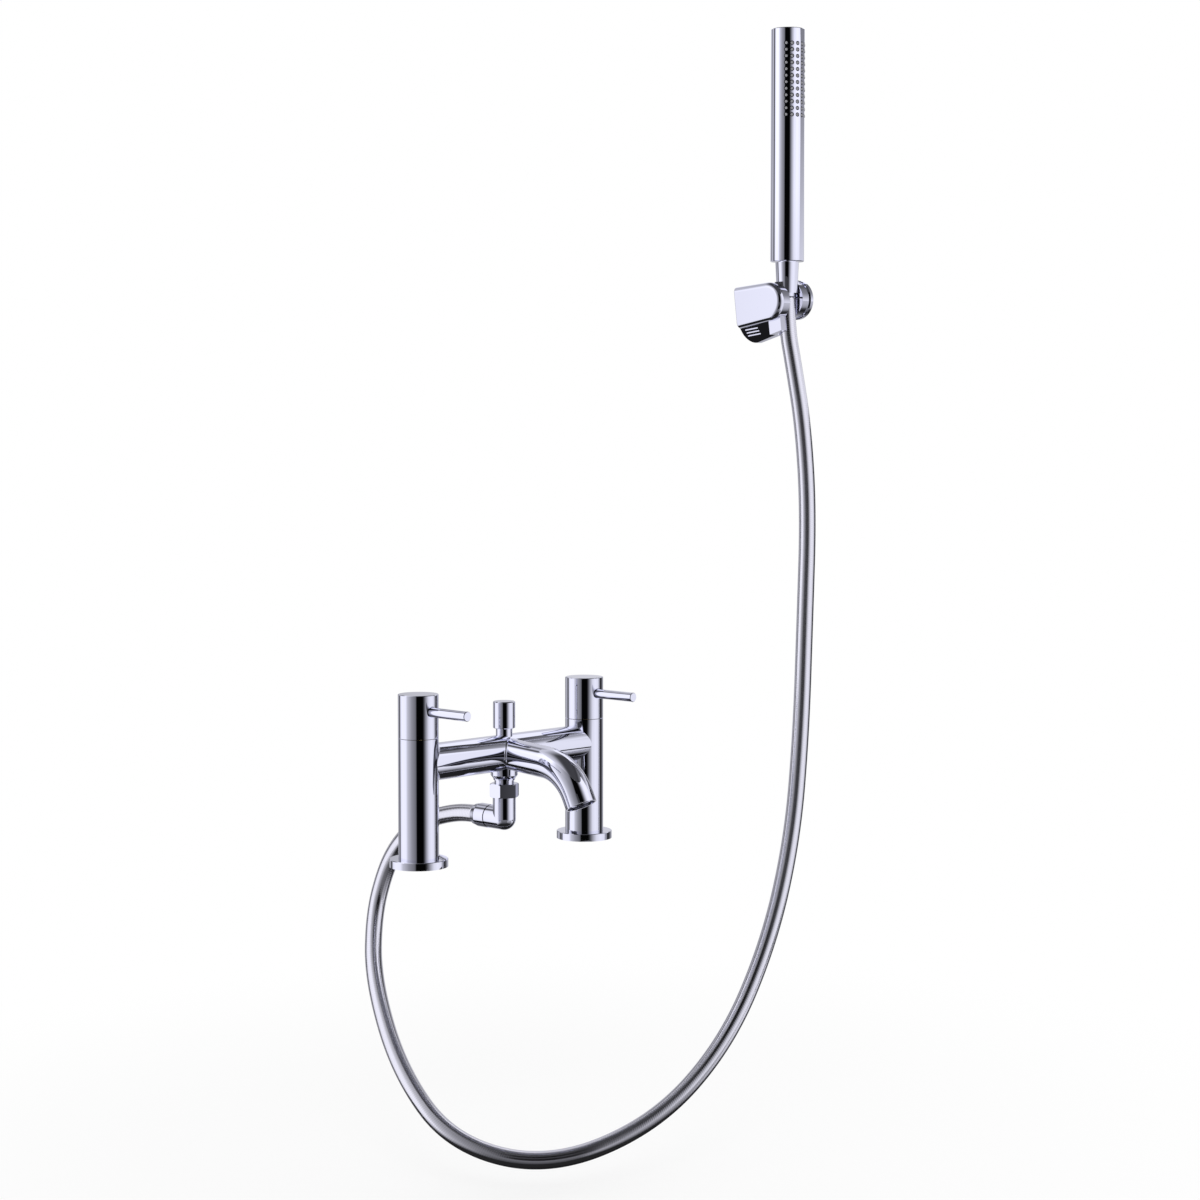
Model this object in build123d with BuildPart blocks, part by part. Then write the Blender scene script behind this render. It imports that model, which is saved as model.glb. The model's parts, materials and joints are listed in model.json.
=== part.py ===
from build123d import *
from math import cos, pi, radians, sin, tan
import os

# Bath shower mixer with two pillars, bath spout, diverter, hose, handset and wall bracket.
# Millimetres. The pillars stand on the deck at z = 0, hot at -X and cold at +X.
# The spout and the levers point towards -Y, the bracket's wall is the plane at the far +X side.

# Fits and small clearances
slide_gap = 0.05
running_gap = 0.1
free_gap = 0.3
overrun = 2.0
edge_break = 0.4

# Pillars and base flanges
pillar_spacing = 180.0
pillar_diameter = 31.0
pillar_height = 98.0
inlet_bore = 20.0
inlet_thread_minor = 24.12
inlet_thread_length = 14.0
valve_seat_depth = 42.0
valve_seat_thickness = 4.0
valve_port = 13.0
valve_chamber = 22.0
flange_diameter = 45.0
flange_height = 6.0
seal_outer = 42.0
seal_inner = 35.0
seal_height = 2.0

# Bridge, hub and spout
bridge_drop = 19.8
bridge_diameter = 28.6
bridge_bore = 16.0
junction_fillet = 1.6
hub_bore = 18.0
hub_bore_rise = 6.4
boss_diameter = 21.4
boss_drop = 15.6
spout_diameter = 24.6
spout_bore = 17.0
spout_droop = 4.0
spout_reach = 85.0
spout_drop = 32.9
spout_outlet_angle = 63.0
spout_bend_radius = 42.0
aerator_thread = 22.0
aerator_depth = 11.0
aerator_recess = 2.8
aerator_wall = 1.6
aerator_insert_recess = 1.6
aerator_insert_height = 5.0
aerator_cell = 2.4
aerator_web = 0.5
aerator_cells = 5

# Handle caps and levers
seam_gap = 0.4
cap_height = 33.2
cap_bore = 26.4
cap_bore_depth = 12.0
lever_drop = 12.8
lever_diameter = 7.5
lever_reach = 55.0
lever_seat_depth = 2.0
lever_seat_diameter = 8.8
stud_diameter = 5.0
stud_length = 7.5
grub_diameter = 4.0
grub_length = 6.0
grub_socket = 2.0
grub_socket_depth = 2.5

# Valve cartridges
cartridge_cage_diameter = 18.8
cartridge_cavity = 15.2
cartridge_cavity_depth = 23.0
cartridge_thread_depth = 13.0
cartridge_hex = 21.0
cartridge_hex_height = 5.0
cartridge_neck = 14.0
cartridge_neck_height = 4.6
cartridge_window_width = 8.0
cartridge_window_height = 6.0
cartridge_window_depth = 26.5
seat_seal_height = 2.4
seat_seal_outer = 15.0
disc_diameter = 15.0
disc_height = 3.0
disc_port = 4.4
disc_port_spread = 3.6
spindle_drive_height = 4.0
spindle_drive_diameter = 14.4
spindle_diameter = 8.0
spindle_spline = 7.2
spindle_spline_length = 8.0

# Diverter
bush_diameter = 13.0
bush_rise = 19.2
stem_diameter = 6.0
stem_engagement = 14.0
knob_diameter = 17.5
knob_height = 21.2
knob_edge = 0.7
plunger_diameter = 15.0
plunger_height = 3.5
plunger_washer_height = 1.5
plunger_washer_diameter = 14.4
oring_outer = 9.2
oring_height = 1.4
oring_rise = 10.8
spring_wall = 1.2
spring_inner = 8.4

# Outlet under the hub
nipple_thread = 17.0
nipple_seat_drop = 9.2
nipple_bore = 11.0
nipple_collar_height = 2.0
nipple_cone_drop = 20.3
nipple_cone_diameter = 17.2
nipple_ring_height = 1.0
nipple_neck_diameter = 15.6
union_nut_drop = 24.2
union_nut_height = 10.8
union_nut_across_flats = 20.5
union_nut_chamfer = 1.0
union_lip_height = 2.8
union_washer_height = 1.3
union_nut_turn = 30.0
elbow_drop = 52.2
elbow_diameter = 18.2
elbow_bore = 10.0
elbow_collar_diameter = 15.5
elbow_collar_height = 1.9
elbow_neck_diameter = 14.2
elbow_arm = 14.9
elbow_groove_gap = 0.7
elbow_thread = 15.0

# Hose, its nuts and ferrules
hose_diameter = 14.0
arc_run_share = 0.45
hose_lead = 14.0
hose_tail = 25.0
# Points chosen by hand along the hanging hose, from the mixer to the handset
hose_bends = [
    (0, 65, 22.5),
    (0, 85, 16.8),
    (-1, 105.2, 7.4),
    (-3, 123.3, -9.1),
    (-7, 135, -31),
    (-15.5, 140, -68),
    (-34.5, 119.5, -116),
    (-53, 66, -178),
    (-54, 3, -223),
    (-10.5, -60.5, -238),
    (69, -98, -213),
    (138.5, -111.5, -160),
    (189, -113.5, -86),
    (221, -111.5, -5),
    (238, -106.5, 80),
    (248, -102, 174),
    (256, -98.7, 265),
    (254, -94.5, 335),
    (249, -88, 386),
]
hose_nut_diameter = 18.8
hose_nut_length = 10.8
hose_nut_lip = 1.4
hose_washer_height = 1.6
ferrule_gap = 0.7
ferrule_end_y = 31.0
ferrule_large = 18.2
ferrule_small = 17.0
spigot_bore = 7.0
spigot_diameter = 9.0
spigot_flange_height = 1.6

# Handset
handset_x = 245.0
handset_y = -84.0
handset_foot_level = 471.4
handset_length = 191.0
handset_diameter = 28.0
handset_wall = 1.5
handset_end_thickness = 2.0
handset_foot_thickness = 5.0
handset_neck_diameter = 15.0
handset_neck_bore = 9.0
handset_edge = 0.5
core_diameter = 14.0
core_wall = 1.5
core_length = 96.0
manifold_wall = 2.0
nozzle_rows = 12
nozzle_columns = 6
nozzle_pitch = 5.3
nozzle_turn = 20.5
nozzle_aim = -5.0
nozzle_hole = 3.5
nozzle_tip = 2.0
nozzle_proud = 0.3
nozzle_jet = 0.8
nozzle_top_drop = 13.0
mat_thickness = 1.2
mat_margin = 4.0

# Conical nut in the bracket's socket
cone_nut_length = 25.4
cone_nut_top_diameter = 19.6
cone_nut_foot_diameter = 17.1
cone_nut_thread = 15.2
neck_gap = 0.5
upper_ferrule_length = 2.8
upper_ferrule_diameter = 13.6
upper_ferrule_grip = 6.2
upper_lip = 2.0

# Wall bracket
wall_x = 265.0
barrel_offset_y = 6.6
barrel_level = 438.1
plate_face_setback = 19.7
plate_round_radius = 16.0
plate_length = 33.4
plate_end_half_height = 17.4
plate_tilt = 7.0
plate_edge = 0.7
plate_round_edge = 4.5
slot_width = 15.0
socket_liner_wall = 1.0
socket_floor_thickness = 0.8
liner_height = 9.9
liner_opening = 3.0
keel_setback = 6.0
keel_depth = 15.0
keel_end = 36.0
keel_end_drop = 31.5
keel_end_radius = 10.0
keel_front = 9.0
keel_front_drop = 25.0
keel_front_radius = 6.0
keel_root = 4.0
keel_brow = 15.0
keel_lean = 12.0
keel_step = 3.6
grip_count = 3
grip_width = 0.9
grip_depth = 0.8
grip_pitch = 2.4
grip_length = 15.0
grip_centre = 25.5
grip_top = 18.8
drum_radius = 15.2
rose_radius = 16.4
rose_depth = 4.0
rose_rise = 2.5
rose_shift = 2.2
rose_edge = 0.8
rose_bore = 26.0
fixing_plate_depth = 3.0
fixing_screw_spacing = 16.0
fixing_screw_hole = 4.4
fixing_boss_diameter = 24.0
fixing_boss_depth = 4.5
screw_head_room = 1.5
slot_run = 60.0
hose_room = 30.0
holder_grub_setback = 2.1
holder_grub_diameter = 3.0
holder_grub_length = 3.0
holder_grub_socket = 1.5
holder_grub_socket_depth = 1.6

half_spacing = pillar_spacing / 2
pillar_r = pillar_diameter / 2
bridge_r = bridge_diameter / 2
valve_seat_level = pillar_height - valve_seat_depth
cartridge_cavity_top = pillar_height - cartridge_cavity_depth
cartridge_thread_level = pillar_height - cartridge_thread_depth
cartridge_window_level = pillar_height - cartridge_window_depth
cap_base = pillar_height + seam_gap
cap_top = cap_base + cap_height
lever_level = cap_top - lever_drop
bridge_level = pillar_height - bridge_drop
spout_outlet_level = bridge_level - spout_drop
hub_bore_top = bridge_level + hub_bore_rise
bush_top = bridge_level + bush_rise
oring_level = bridge_level + oring_rise
nipple_seat_level = bridge_level - nipple_seat_drop
boss_level = bridge_level - boss_drop
nipple_cone_low = bridge_level - nipple_cone_drop
union_nut_top = bridge_level - union_nut_drop
elbow_level = bridge_level - elbow_drop
handset_r = handset_diameter / 2

sides = {"hot": -half_spacing, "cold": half_spacing}

os.makedirs("parts", exist_ok=True)


def upright(x, y):
    # Profiles of (radius, z) turned about a vertical axis.
    return Plane(origin=(x, y, 0), x_dir=(1, 0, 0), z_dir=(0, -1, 0)), Axis((x, y, 0), (0, 0, 1))


def along_y(x, z):
    # Profiles of (radius, y) turned about an axis along +Y.
    return Plane(origin=(x, 0, z), x_dir=(1, 0, 0), z_dir=(0, 0, 1)), Axis((x, 0, z), (0, 1, 0))


def along_x(y, z):
    # Profiles of (x, radius) turned about an axis along +X.
    return Plane(origin=(0, y, z), x_dir=(1, 0, 0), z_dir=(0, -1, 0)), Axis((0, y, z), (1, 0, 0))


def save(piece, label):
    piece.part.label = label
    export_step(piece.part, f"parts/{label}.step")


def turned(frame, outline):
    # One closed profile turned through a full circle.
    plane, axis = frame
    with BuildPart() as piece:
        with BuildSketch(plane):
            with BuildLine():
                Polyline(*outline, close=True)
            make_face()
        revolve(axis=axis)
    return piece


def ring_outline(inner, outer, low, high):
    return [(inner / 2, low), (outer / 2, low), (outer / 2, high), (inner / 2, high)]


def rod_outline(diameter, low, high, edge=0.0):
    r = diameter / 2
    if edge == 0.0:
        return [(0, low), (r, low), (r, high), (0, high)]
    return [(0, low), (r, low), (r, high - edge), (r - edge, high), (0, high)]


# Mixer body: one casting with pillars, bridge, hub boss and spout
droop = radians(spout_droop)
steep = radians(spout_outlet_angle)
outlet_drop = bridge_level - spout_outlet_level - spout_reach * tan(droop)
outlet_run = outlet_drop / (sin(steep) - cos(steep) * tan(droop))
spout_corner = (spout_reach - outlet_run * cos(steep), spout_outlet_level + outlet_run * sin(steep))
spout_end = (0, -spout_reach, spout_outlet_level)
spout_start = Plane(origin=(0, 0, bridge_level), x_dir=(1, 0, 0), z_dir=(0, -cos(droop), -sin(droop)))
spout_direction = (0, -cos(steep), -sin(steep))

with BuildPart() as mixer_body:
    for x in sides.values():
        with Locations((x, 0, 0)):
            Cylinder(pillar_r, pillar_height, align=(Align.CENTER, Align.CENTER, Align.MIN))
    with Locations((0, 0, bridge_level)):
        Cylinder(bridge_r, pillar_spacing, rotation=(0, 90, 0))
    with BuildLine() as spout_path:
        FilletPolyline(
            (0, 0, bridge_level),
            (0, -spout_corner[0], spout_corner[1]),
            spout_end,
            radius=spout_bend_radius,
        )
    with BuildSketch(spout_start):
        Circle(spout_diameter / 2)
    sweep(path=spout_path.line)
    creases = mixer_body.edges().filter_by(
        lambda e: e.geom_type not in (GeomType.CIRCLE, GeomType.LINE)
        and abs(e.center().Z - bridge_level) < bridge_r
    )
    fillet(creases, junction_fillet)
    with BuildSketch(Plane.XY.offset(boss_level)):
        Circle(boss_diameter / 2)
    extrude(amount=bridge_level - boss_level)
    # Waterways: inlets, valve chambers, bridge, hub and spout
    for x in sides.values():
        with Locations((x, 0, 0)):
            Cylinder(
                inlet_thread_minor / 2,
                inlet_thread_length,
                align=(Align.CENTER, Align.CENTER, Align.MIN),
                mode=Mode.SUBTRACT,
            )
            Cylinder(
                inlet_bore / 2,
                valve_seat_level,
                align=(Align.CENTER, Align.CENTER, Align.MIN),
                mode=Mode.SUBTRACT,
            )
            Cylinder(
                valve_port / 2,
                pillar_height,
                align=(Align.CENTER, Align.CENTER, Align.MIN),
                mode=Mode.SUBTRACT,
            )
        with Locations((x, 0, valve_seat_level + valve_seat_thickness)):
            Cylinder(
                valve_chamber / 2,
                pillar_height,
                align=(Align.CENTER, Align.CENTER, Align.MIN),
                mode=Mode.SUBTRACT,
            )
    with Locations((0, 0, bridge_level)):
        Cylinder(bridge_bore / 2, pillar_spacing, rotation=(0, 90, 0), mode=Mode.SUBTRACT)
    with Locations((0, 0, nipple_seat_level)):
        Cylinder(
            hub_bore / 2,
            hub_bore_top - nipple_seat_level,
            align=(Align.CENTER, Align.CENTER, Align.MIN),
            mode=Mode.SUBTRACT,
        )
        Cylinder(
            bush_diameter / 2 + slide_gap,
            pillar_height,
            align=(Align.CENTER, Align.CENTER, Align.MIN),
            mode=Mode.SUBTRACT,
        )
        Cylinder(
            nipple_thread / 2 + slide_gap,
            pillar_height,
            align=(Align.CENTER, Align.CENTER, Align.MAX),
            mode=Mode.SUBTRACT,
        )
    with BuildSketch(spout_start):
        Circle(spout_bore / 2)
    sweep(path=spout_path.line, mode=Mode.SUBTRACT)
    with BuildSketch(Plane(origin=spout_end, x_dir=(1, 0, 0), z_dir=spout_direction)):
        Circle(aerator_thread / 2)
    extrude(amount=-aerator_depth, mode=Mode.SUBTRACT)
save(mixer_body, "mixer_body")


# Base flanges and their seals
for side, x in sides.items():
    flange_bore = pillar_diameter + 2 * slide_gap
    outline = [
        (flange_bore / 2, 0),
        (seal_inner / 2 - slide_gap, 0),
        (seal_inner / 2 - slide_gap, seal_height),
        (seal_outer / 2 + slide_gap, seal_height),
        (seal_outer / 2 + slide_gap, 0),
        (flange_diameter / 2, 0),
        (flange_diameter / 2, flange_height - edge_break),
        (flange_diameter / 2 - edge_break, flange_height),
        (flange_bore / 2, flange_height),
    ]
    base_flange = turned(upright(x, 0), outline)
    save(base_flange, f"{side}_base_flange")
    base_seal = turned(upright(x, 0), ring_outline(seal_inner, seal_outer, 0, seal_height))
    save(base_seal, f"{side}_base_seal")

# Valve cartridges, handle caps and levers
seat_top = valve_seat_level + valve_seat_thickness
disc_low = seat_top + seat_seal_height
moving_low = disc_low + disc_height + slide_gap
drive_low = moving_low + disc_height
drive_high = drive_low + spindle_drive_height
cage_low = seat_top + free_gap
hex_top = pillar_height + cartridge_hex_height
neck_top = hex_top + cartridge_neck_height
spline_low = neck_top + edge_break
spline_high = spline_low + spindle_spline_length
thread_r = valve_chamber / 2 - slide_gap
pin_seat = pillar_r - lever_seat_depth
grub_level = cap_base + cap_bore_depth + grub_diameter / 2 + edge_break


def ceramic_disc(x, diameter, low):
    with BuildPart() as disc:
        with BuildSketch(Plane.XY.offset(low)):
            with Locations((x, 0)):
                Circle(diameter / 2)
            with Locations((x, disc_port_spread), (x, -disc_port_spread)):
                Circle(disc_port / 2, mode=Mode.SUBTRACT)
        extrude(amount=disc_height)
    return disc


for side, x in sides.items():
    seat_seal = turned(upright(x, 0), ring_outline(valve_port, seat_seal_outer, seat_top, disc_low))
    save(seat_seal, f"{side}_seat_seal")
    fixed_disc = ceramic_disc(x, disc_diameter, disc_low)
    save(fixed_disc, f"{side}_fixed_disc")
    moving_disc = ceramic_disc(x, disc_diameter - 2 * running_gap, moving_low)
    save(moving_disc, f"{side}_moving_disc")

    plane, axis = upright(x, 0)
    with BuildPart() as cartridge_body:
        with BuildSketch(plane):
            with BuildLine():
                Polyline(
                    (spindle_diameter / 2 + slide_gap, cartridge_cavity_top),
                    (cartridge_cavity / 2, cartridge_cavity_top),
                    (cartridge_cavity / 2, cage_low),
                    (cartridge_cage_diameter / 2, cage_low),
                    (cartridge_cage_diameter / 2, cartridge_thread_level),
                    (thread_r, cartridge_thread_level),
                    (thread_r, pillar_height),
                    (cartridge_neck / 2, pillar_height),
                    (cartridge_neck / 2, neck_top),
                    (spindle_diameter / 2 + slide_gap, neck_top),
                    close=True,
                )
            make_face()
        revolve(axis=axis)
        with BuildSketch(Plane.XY.offset(pillar_height)):
            with Locations((x, 0)):
                RegularPolygon(cartridge_hex / 2, 6, major_radius=False)
                Circle(cartridge_neck / 2, mode=Mode.SUBTRACT)
        extrude(amount=cartridge_hex_height)
        with Locations((x, 0, cartridge_window_level)):
            Box(valve_chamber, cartridge_window_width, cartridge_window_height, mode=Mode.SUBTRACT)
    save(cartridge_body, f"{side}_cartridge_body")

    spindle = turned(
        upright(x, 0),
        [
            (0, drive_low),
            (spindle_drive_diameter / 2, drive_low),
            (spindle_drive_diameter / 2, drive_high),
            (spindle_diameter / 2, drive_high),
            (spindle_diameter / 2, spline_low),
            (spindle_spline / 2, spline_low),
            (spindle_spline / 2, spline_high),
            (0, spline_high),
        ],
    )
    save(spindle, f"{side}_spindle")

    with BuildPart() as handle_cap:
        with BuildSketch(plane):
            with BuildLine():
                Polyline(
                    (cap_bore / 2, cap_base),
                    (pillar_r, cap_base),
                    (pillar_r, cap_top - edge_break),
                    (pillar_r - edge_break, cap_top),
                    (0, cap_top),
                    (0, spline_high + slide_gap),
                    (spindle_spline / 2 + slide_gap, spline_high + slide_gap),
                    (spindle_spline / 2 + slide_gap, cap_base + cap_bore_depth),
                    (cap_bore / 2, cap_base + cap_bore_depth),
                    close=True,
                )
            make_face()
        revolve(axis=axis)
        with BuildSketch(Plane(origin=(x, -pin_seat, lever_level), x_dir=(1, 0, 0), z_dir=(0, -1, 0))):
            Circle(lever_seat_diameter / 2)
        extrude(amount=lever_seat_depth + overrun, mode=Mode.SUBTRACT)
        with BuildSketch(Plane(origin=(x, -pin_seat, lever_level), x_dir=(1, 0, 0), z_dir=(0, -1, 0))):
            Circle(stud_diameter / 2 + slide_gap)
        extrude(amount=-stud_length - slide_gap, mode=Mode.SUBTRACT)
        with BuildSketch(Plane(origin=(x, 0, grub_level), x_dir=(1, 0, 0), z_dir=(0, -1, 0))):
            Circle(grub_diameter / 2 + slide_gap)
        extrude(amount=-pillar_r - overrun, mode=Mode.SUBTRACT)
    save(handle_cap, f"{side}_handle_cap")

    lever_plane, lever_axis = along_y(x, lever_level)
    lever = turned(
        (lever_plane, lever_axis),
        [
            (0, -pin_seat + stud_length),
            (stud_diameter / 2, -pin_seat + stud_length),
            (stud_diameter / 2, -pin_seat),
            (lever_diameter / 2, -pin_seat),
            (lever_diameter / 2, -lever_reach + edge_break),
            (lever_diameter / 2 - edge_break, -lever_reach),
            (0, -lever_reach),
        ],
    )
    save(lever, f"{side}_lever")

    grub_start = spindle_spline / 2 + slide_gap
    grub_end = grub_start + grub_length
    grub_plane, grub_axis = along_y(x, grub_level)
    with BuildPart() as grub_screw:
        with BuildSketch(grub_plane):
            with BuildLine():
                Polyline(*rod_outline(grub_diameter, grub_start, grub_end, edge_break), close=True)
            make_face()
        revolve(axis=grub_axis)
        with BuildSketch(Plane(origin=(x, grub_end, grub_level), x_dir=(1, 0, 0), z_dir=(0, 1, 0))):
            RegularPolygon(grub_socket / 2, 6, major_radius=False)
        extrude(amount=-grub_socket_depth, mode=Mode.SUBTRACT)
    save(grub_screw, f"{side}_grub_screw")

# Diverter: bush, stem, plunger, washer, o-ring, spring and pull knob
washer_low = nipple_seat_level + free_gap
plunger_low = washer_low + plunger_washer_height
plunger_high = plunger_low + plunger_height
knob_low = bush_top + free_gap
knob_high = knob_low + knob_height
centre = upright(0, 0)

bush_bore = stem_diameter + 2 * running_gap
bush_outline = [
    (bush_bore / 2, hub_bore_top),
    (bush_diameter / 2, hub_bore_top),
    (bush_diameter / 2, bush_top),
    (bush_bore / 2, bush_top),
    (bush_bore / 2, oring_level + oring_height / 2 + slide_gap),
    (oring_outer / 2 + slide_gap, oring_level + oring_height / 2 + slide_gap),
    (oring_outer / 2 + slide_gap, oring_level - oring_height / 2 - slide_gap),
    (bush_bore / 2, oring_level - oring_height / 2 - slide_gap),
]
diverter_guide_bush = turned(centre, bush_outline)
save(diverter_guide_bush, "diverter_guide_bush")

plane, axis = centre
with BuildPart() as diverter_o_ring:
    with BuildSketch(plane):
        with Locations(((oring_outer - oring_height) / 2, oring_level)):
            Circle(oring_height / 2)
    revolve(axis=axis)
save(diverter_o_ring, "diverter_o_ring")

diverter_stem = turned(
    centre, rod_outline(stem_diameter, plunger_low, knob_low + stem_engagement, edge_break)
)
save(diverter_stem, "diverter_stem")
stem_hole = stem_diameter + 2 * slide_gap
diverter_plunger = turned(centre, ring_outline(stem_hole, plunger_diameter, plunger_low, plunger_high))
save(diverter_plunger, "diverter_plunger")
diverter_washer = turned(centre, rod_outline(plunger_washer_diameter, washer_low, plunger_low))
save(diverter_washer, "diverter_washer")
spring_outer = spring_inner + 2 * spring_wall
diverter_spring = turned(centre, ring_outline(spring_inner, spring_outer, plunger_high, hub_bore_top))
save(diverter_spring, "diverter_spring")
diverter_knob = turned(
    centre,
    [
        (stem_hole / 2, knob_low),
        (knob_diameter / 2 - edge_break, knob_low),
        (knob_diameter / 2, knob_low + edge_break),
        (knob_diameter / 2, knob_high - knob_edge),
        (knob_diameter / 2 - knob_edge, knob_high),
        (0, knob_high),
        (0, knob_low + stem_engagement + slide_gap),
        (stem_hole / 2, knob_low + stem_engagement + slide_gap),
    ],
)
save(diverter_knob, "diverter_knob")


# Aerator in the spout's mouth
outlet_plane = Plane(origin=spout_end, x_dir=(1, 0, 0), z_dir=spout_direction)
with BuildPart() as aerator_housing:
    with BuildSketch(outlet_plane.offset(-aerator_recess)):
        Circle(aerator_thread / 2 - slide_gap)
        Circle(aerator_thread / 2 - aerator_wall, mode=Mode.SUBTRACT)
    extrude(amount=-(aerator_depth - aerator_recess))
save(aerator_housing, "aerator_housing")

insert_r = aerator_thread / 2 - aerator_wall - slide_gap
with BuildPart() as aerator_insert:
    with BuildSketch(outlet_plane.offset(-aerator_recess - aerator_insert_recess)):
        Circle(insert_r)
        with HexLocations(aerator_cell / 2 + aerator_web / 2, aerator_cells, aerator_cells):
            RegularPolygon(aerator_cell / 2, 6, mode=Mode.SUBTRACT)
    extrude(amount=-aerator_insert_height)
save(aerator_insert, "aerator_insert")

# Union under the hub: nipple, nut, washer and elbow
union_nut_low = union_nut_top - union_nut_height
collar_low = union_nut_low + union_lip_height + slide_gap
collar_high = collar_low + elbow_collar_height
nipple_foot = collar_high + union_washer_height
outlet_nipple = turned(
    centre,
    [
        (nipple_bore / 2, nipple_foot),
        (nipple_neck_diameter / 2, nipple_foot),
        (nipple_neck_diameter / 2, nipple_cone_low - nipple_ring_height),
        (nipple_cone_diameter / 2, nipple_cone_low - nipple_ring_height),
        (nipple_cone_diameter / 2, nipple_cone_low),
        (boss_diameter / 2, boss_level - nipple_collar_height),
        (boss_diameter / 2, boss_level),
        (nipple_thread / 2, boss_level),
        (nipple_thread / 2, nipple_seat_level),
        (nipple_bore / 2, nipple_seat_level),
    ],
)
save(outlet_nipple, "outlet_nipple")

with BuildPart() as union_nut:
    with BuildSketch(Plane.XY.offset(union_nut_low)):
        RegularPolygon(union_nut_across_flats / 2, 6, major_radius=False, rotation=union_nut_turn)
    extrude(amount=union_nut_height)
    nut_corner = union_nut_across_flats / 2 / cos(pi / 6)
    nut_plane, nut_axis = centre
    with BuildSketch(nut_plane):
        with BuildLine():
            Polyline(
                (0, union_nut_low),
                (nut_corner - union_nut_chamfer, union_nut_low),
                (nut_corner, union_nut_low + union_nut_chamfer),
                (nut_corner, union_nut_top - union_nut_chamfer),
                (nut_corner - union_nut_chamfer, union_nut_top),
                (0, union_nut_top),
                close=True,
            )
        make_face()
    revolve(axis=nut_axis, mode=Mode.INTERSECT)
    with Locations((0, 0, union_nut_low)):
        Cylinder(
            elbow_neck_diameter / 2 + slide_gap,
            union_nut_height,
            align=(Align.CENTER, Align.CENTER, Align.MIN),
            mode=Mode.SUBTRACT,
        )
    with Locations((0, 0, union_nut_top)):
        Cylinder(
            nipple_neck_diameter / 2 + slide_gap,
            union_nut_height - union_lip_height,
            align=(Align.CENTER, Align.CENTER, Align.MAX),
            mode=Mode.SUBTRACT,
        )
save(union_nut, "union_nut")

union_washer = turned(centre, ring_outline(nipple_bore, elbow_collar_diameter, collar_high, nipple_foot))
save(union_washer, "union_washer")

# Elbow and the hose's lower end, on an axis along +Y
elbow_top = union_nut_low - slide_gap
nut_start = elbow_arm + elbow_groove_gap
nut_end = nut_start + hose_nut_length
flange_end = nut_end - hose_nut_lip
flange_start = flange_end - spigot_flange_height
washer_start = flange_start - hose_washer_height
hose_line = along_y(0, elbow_level)
with BuildPart() as outlet_elbow:
    with BuildSketch(centre[0]):
        with BuildLine():
            Polyline(
                (0, elbow_level),
                (elbow_diameter / 2, elbow_level),
                (elbow_diameter / 2, elbow_top),
                (elbow_neck_diameter / 2, elbow_top),
                (elbow_neck_diameter / 2, collar_low),
                (elbow_collar_diameter / 2, collar_low),
                (elbow_collar_diameter / 2, collar_high),
                (0, collar_high),
                close=True,
            )
        make_face()
    revolve(axis=centre[1])
    with Locations((0, 0, elbow_level)):
        Sphere(elbow_diameter / 2)
    with BuildSketch(hose_line[0]):
        with BuildLine():
            Polyline(
                (0, 0),
                (elbow_diameter / 2, 0),
                (elbow_diameter / 2, elbow_arm),
                (elbow_thread / 2, elbow_arm),
                (elbow_thread / 2, washer_start),
                (0, washer_start),
                close=True,
            )
        make_face()
    revolve(axis=hose_line[1])
    with Locations((0, 0, elbow_level)):
        Cylinder(
            elbow_bore / 2, pillar_height, align=(Align.CENTER, Align.CENTER, Align.MIN), mode=Mode.SUBTRACT
        )
        Sphere(elbow_bore / 2, mode=Mode.SUBTRACT)
        Cylinder(
            elbow_bore / 2,
            pillar_height,
            rotation=(-90, 0, 0),
            align=(Align.CENTER, Align.CENTER, Align.MIN),
            mode=Mode.SUBTRACT,
        )
save(outlet_elbow, "outlet_elbow")

lower_hose_nut = turned(
    hose_line,
    [
        (elbow_thread / 2 + slide_gap, nut_start),
        (hose_nut_diameter / 2, nut_start),
        (hose_nut_diameter / 2, nut_end),
        (spigot_diameter / 2 + slide_gap, nut_end),
        (spigot_diameter / 2 + slide_gap, flange_end),
        (elbow_thread / 2 + slide_gap, flange_end),
    ],
)
save(lower_hose_nut, "lower_hose_nut")
lower_hose_washer = turned(
    hose_line, ring_outline(spigot_diameter, elbow_thread, washer_start, flange_start)
)
save(lower_hose_washer, "lower_hose_washer")
lower_hose_spigot = turned(
    hose_line,
    [
        (spigot_bore / 2, flange_start),
        (elbow_thread / 2, flange_start),
        (elbow_thread / 2, flange_end),
        (spigot_diameter / 2, flange_end),
        (spigot_diameter / 2, ferrule_end_y),
        (spigot_bore / 2, ferrule_end_y),
    ],
)
save(lower_hose_spigot, "lower_hose_spigot")
lower_ferrule = turned(
    hose_line,
    [
        (spigot_diameter / 2 + slide_gap, nut_end + ferrule_gap),
        (ferrule_large / 2, nut_end + ferrule_gap),
        (ferrule_small / 2, ferrule_end_y),
        (spigot_diameter / 2 + slide_gap, ferrule_end_y),
    ],
)
save(lower_ferrule, "lower_ferrule")

# Hose's upper end, on the handset's upright axis
handset_line = upright(handset_x, handset_y)
cone_nut_top = handset_foot_level - neck_gap
cone_nut_foot = cone_nut_top - cone_nut_length
hose_top = cone_nut_foot - upper_ferrule_length
grip_high = cone_nut_foot + upper_ferrule_grip
lip_high = grip_high + upper_lip
upper_washer_low = lip_high + spigot_flange_height
neck_low = upper_washer_low + hose_washer_height

# Hose: one tube through this route, straight runs joined by tangent arcs
hose_route = [
    (0, ferrule_end_y, elbow_level),
    (0, ferrule_end_y + hose_lead, elbow_level),
    *hose_bends,
    (handset_x, handset_y, hose_top - hose_tail),
    (handset_x, handset_y, hose_top),
]


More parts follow.
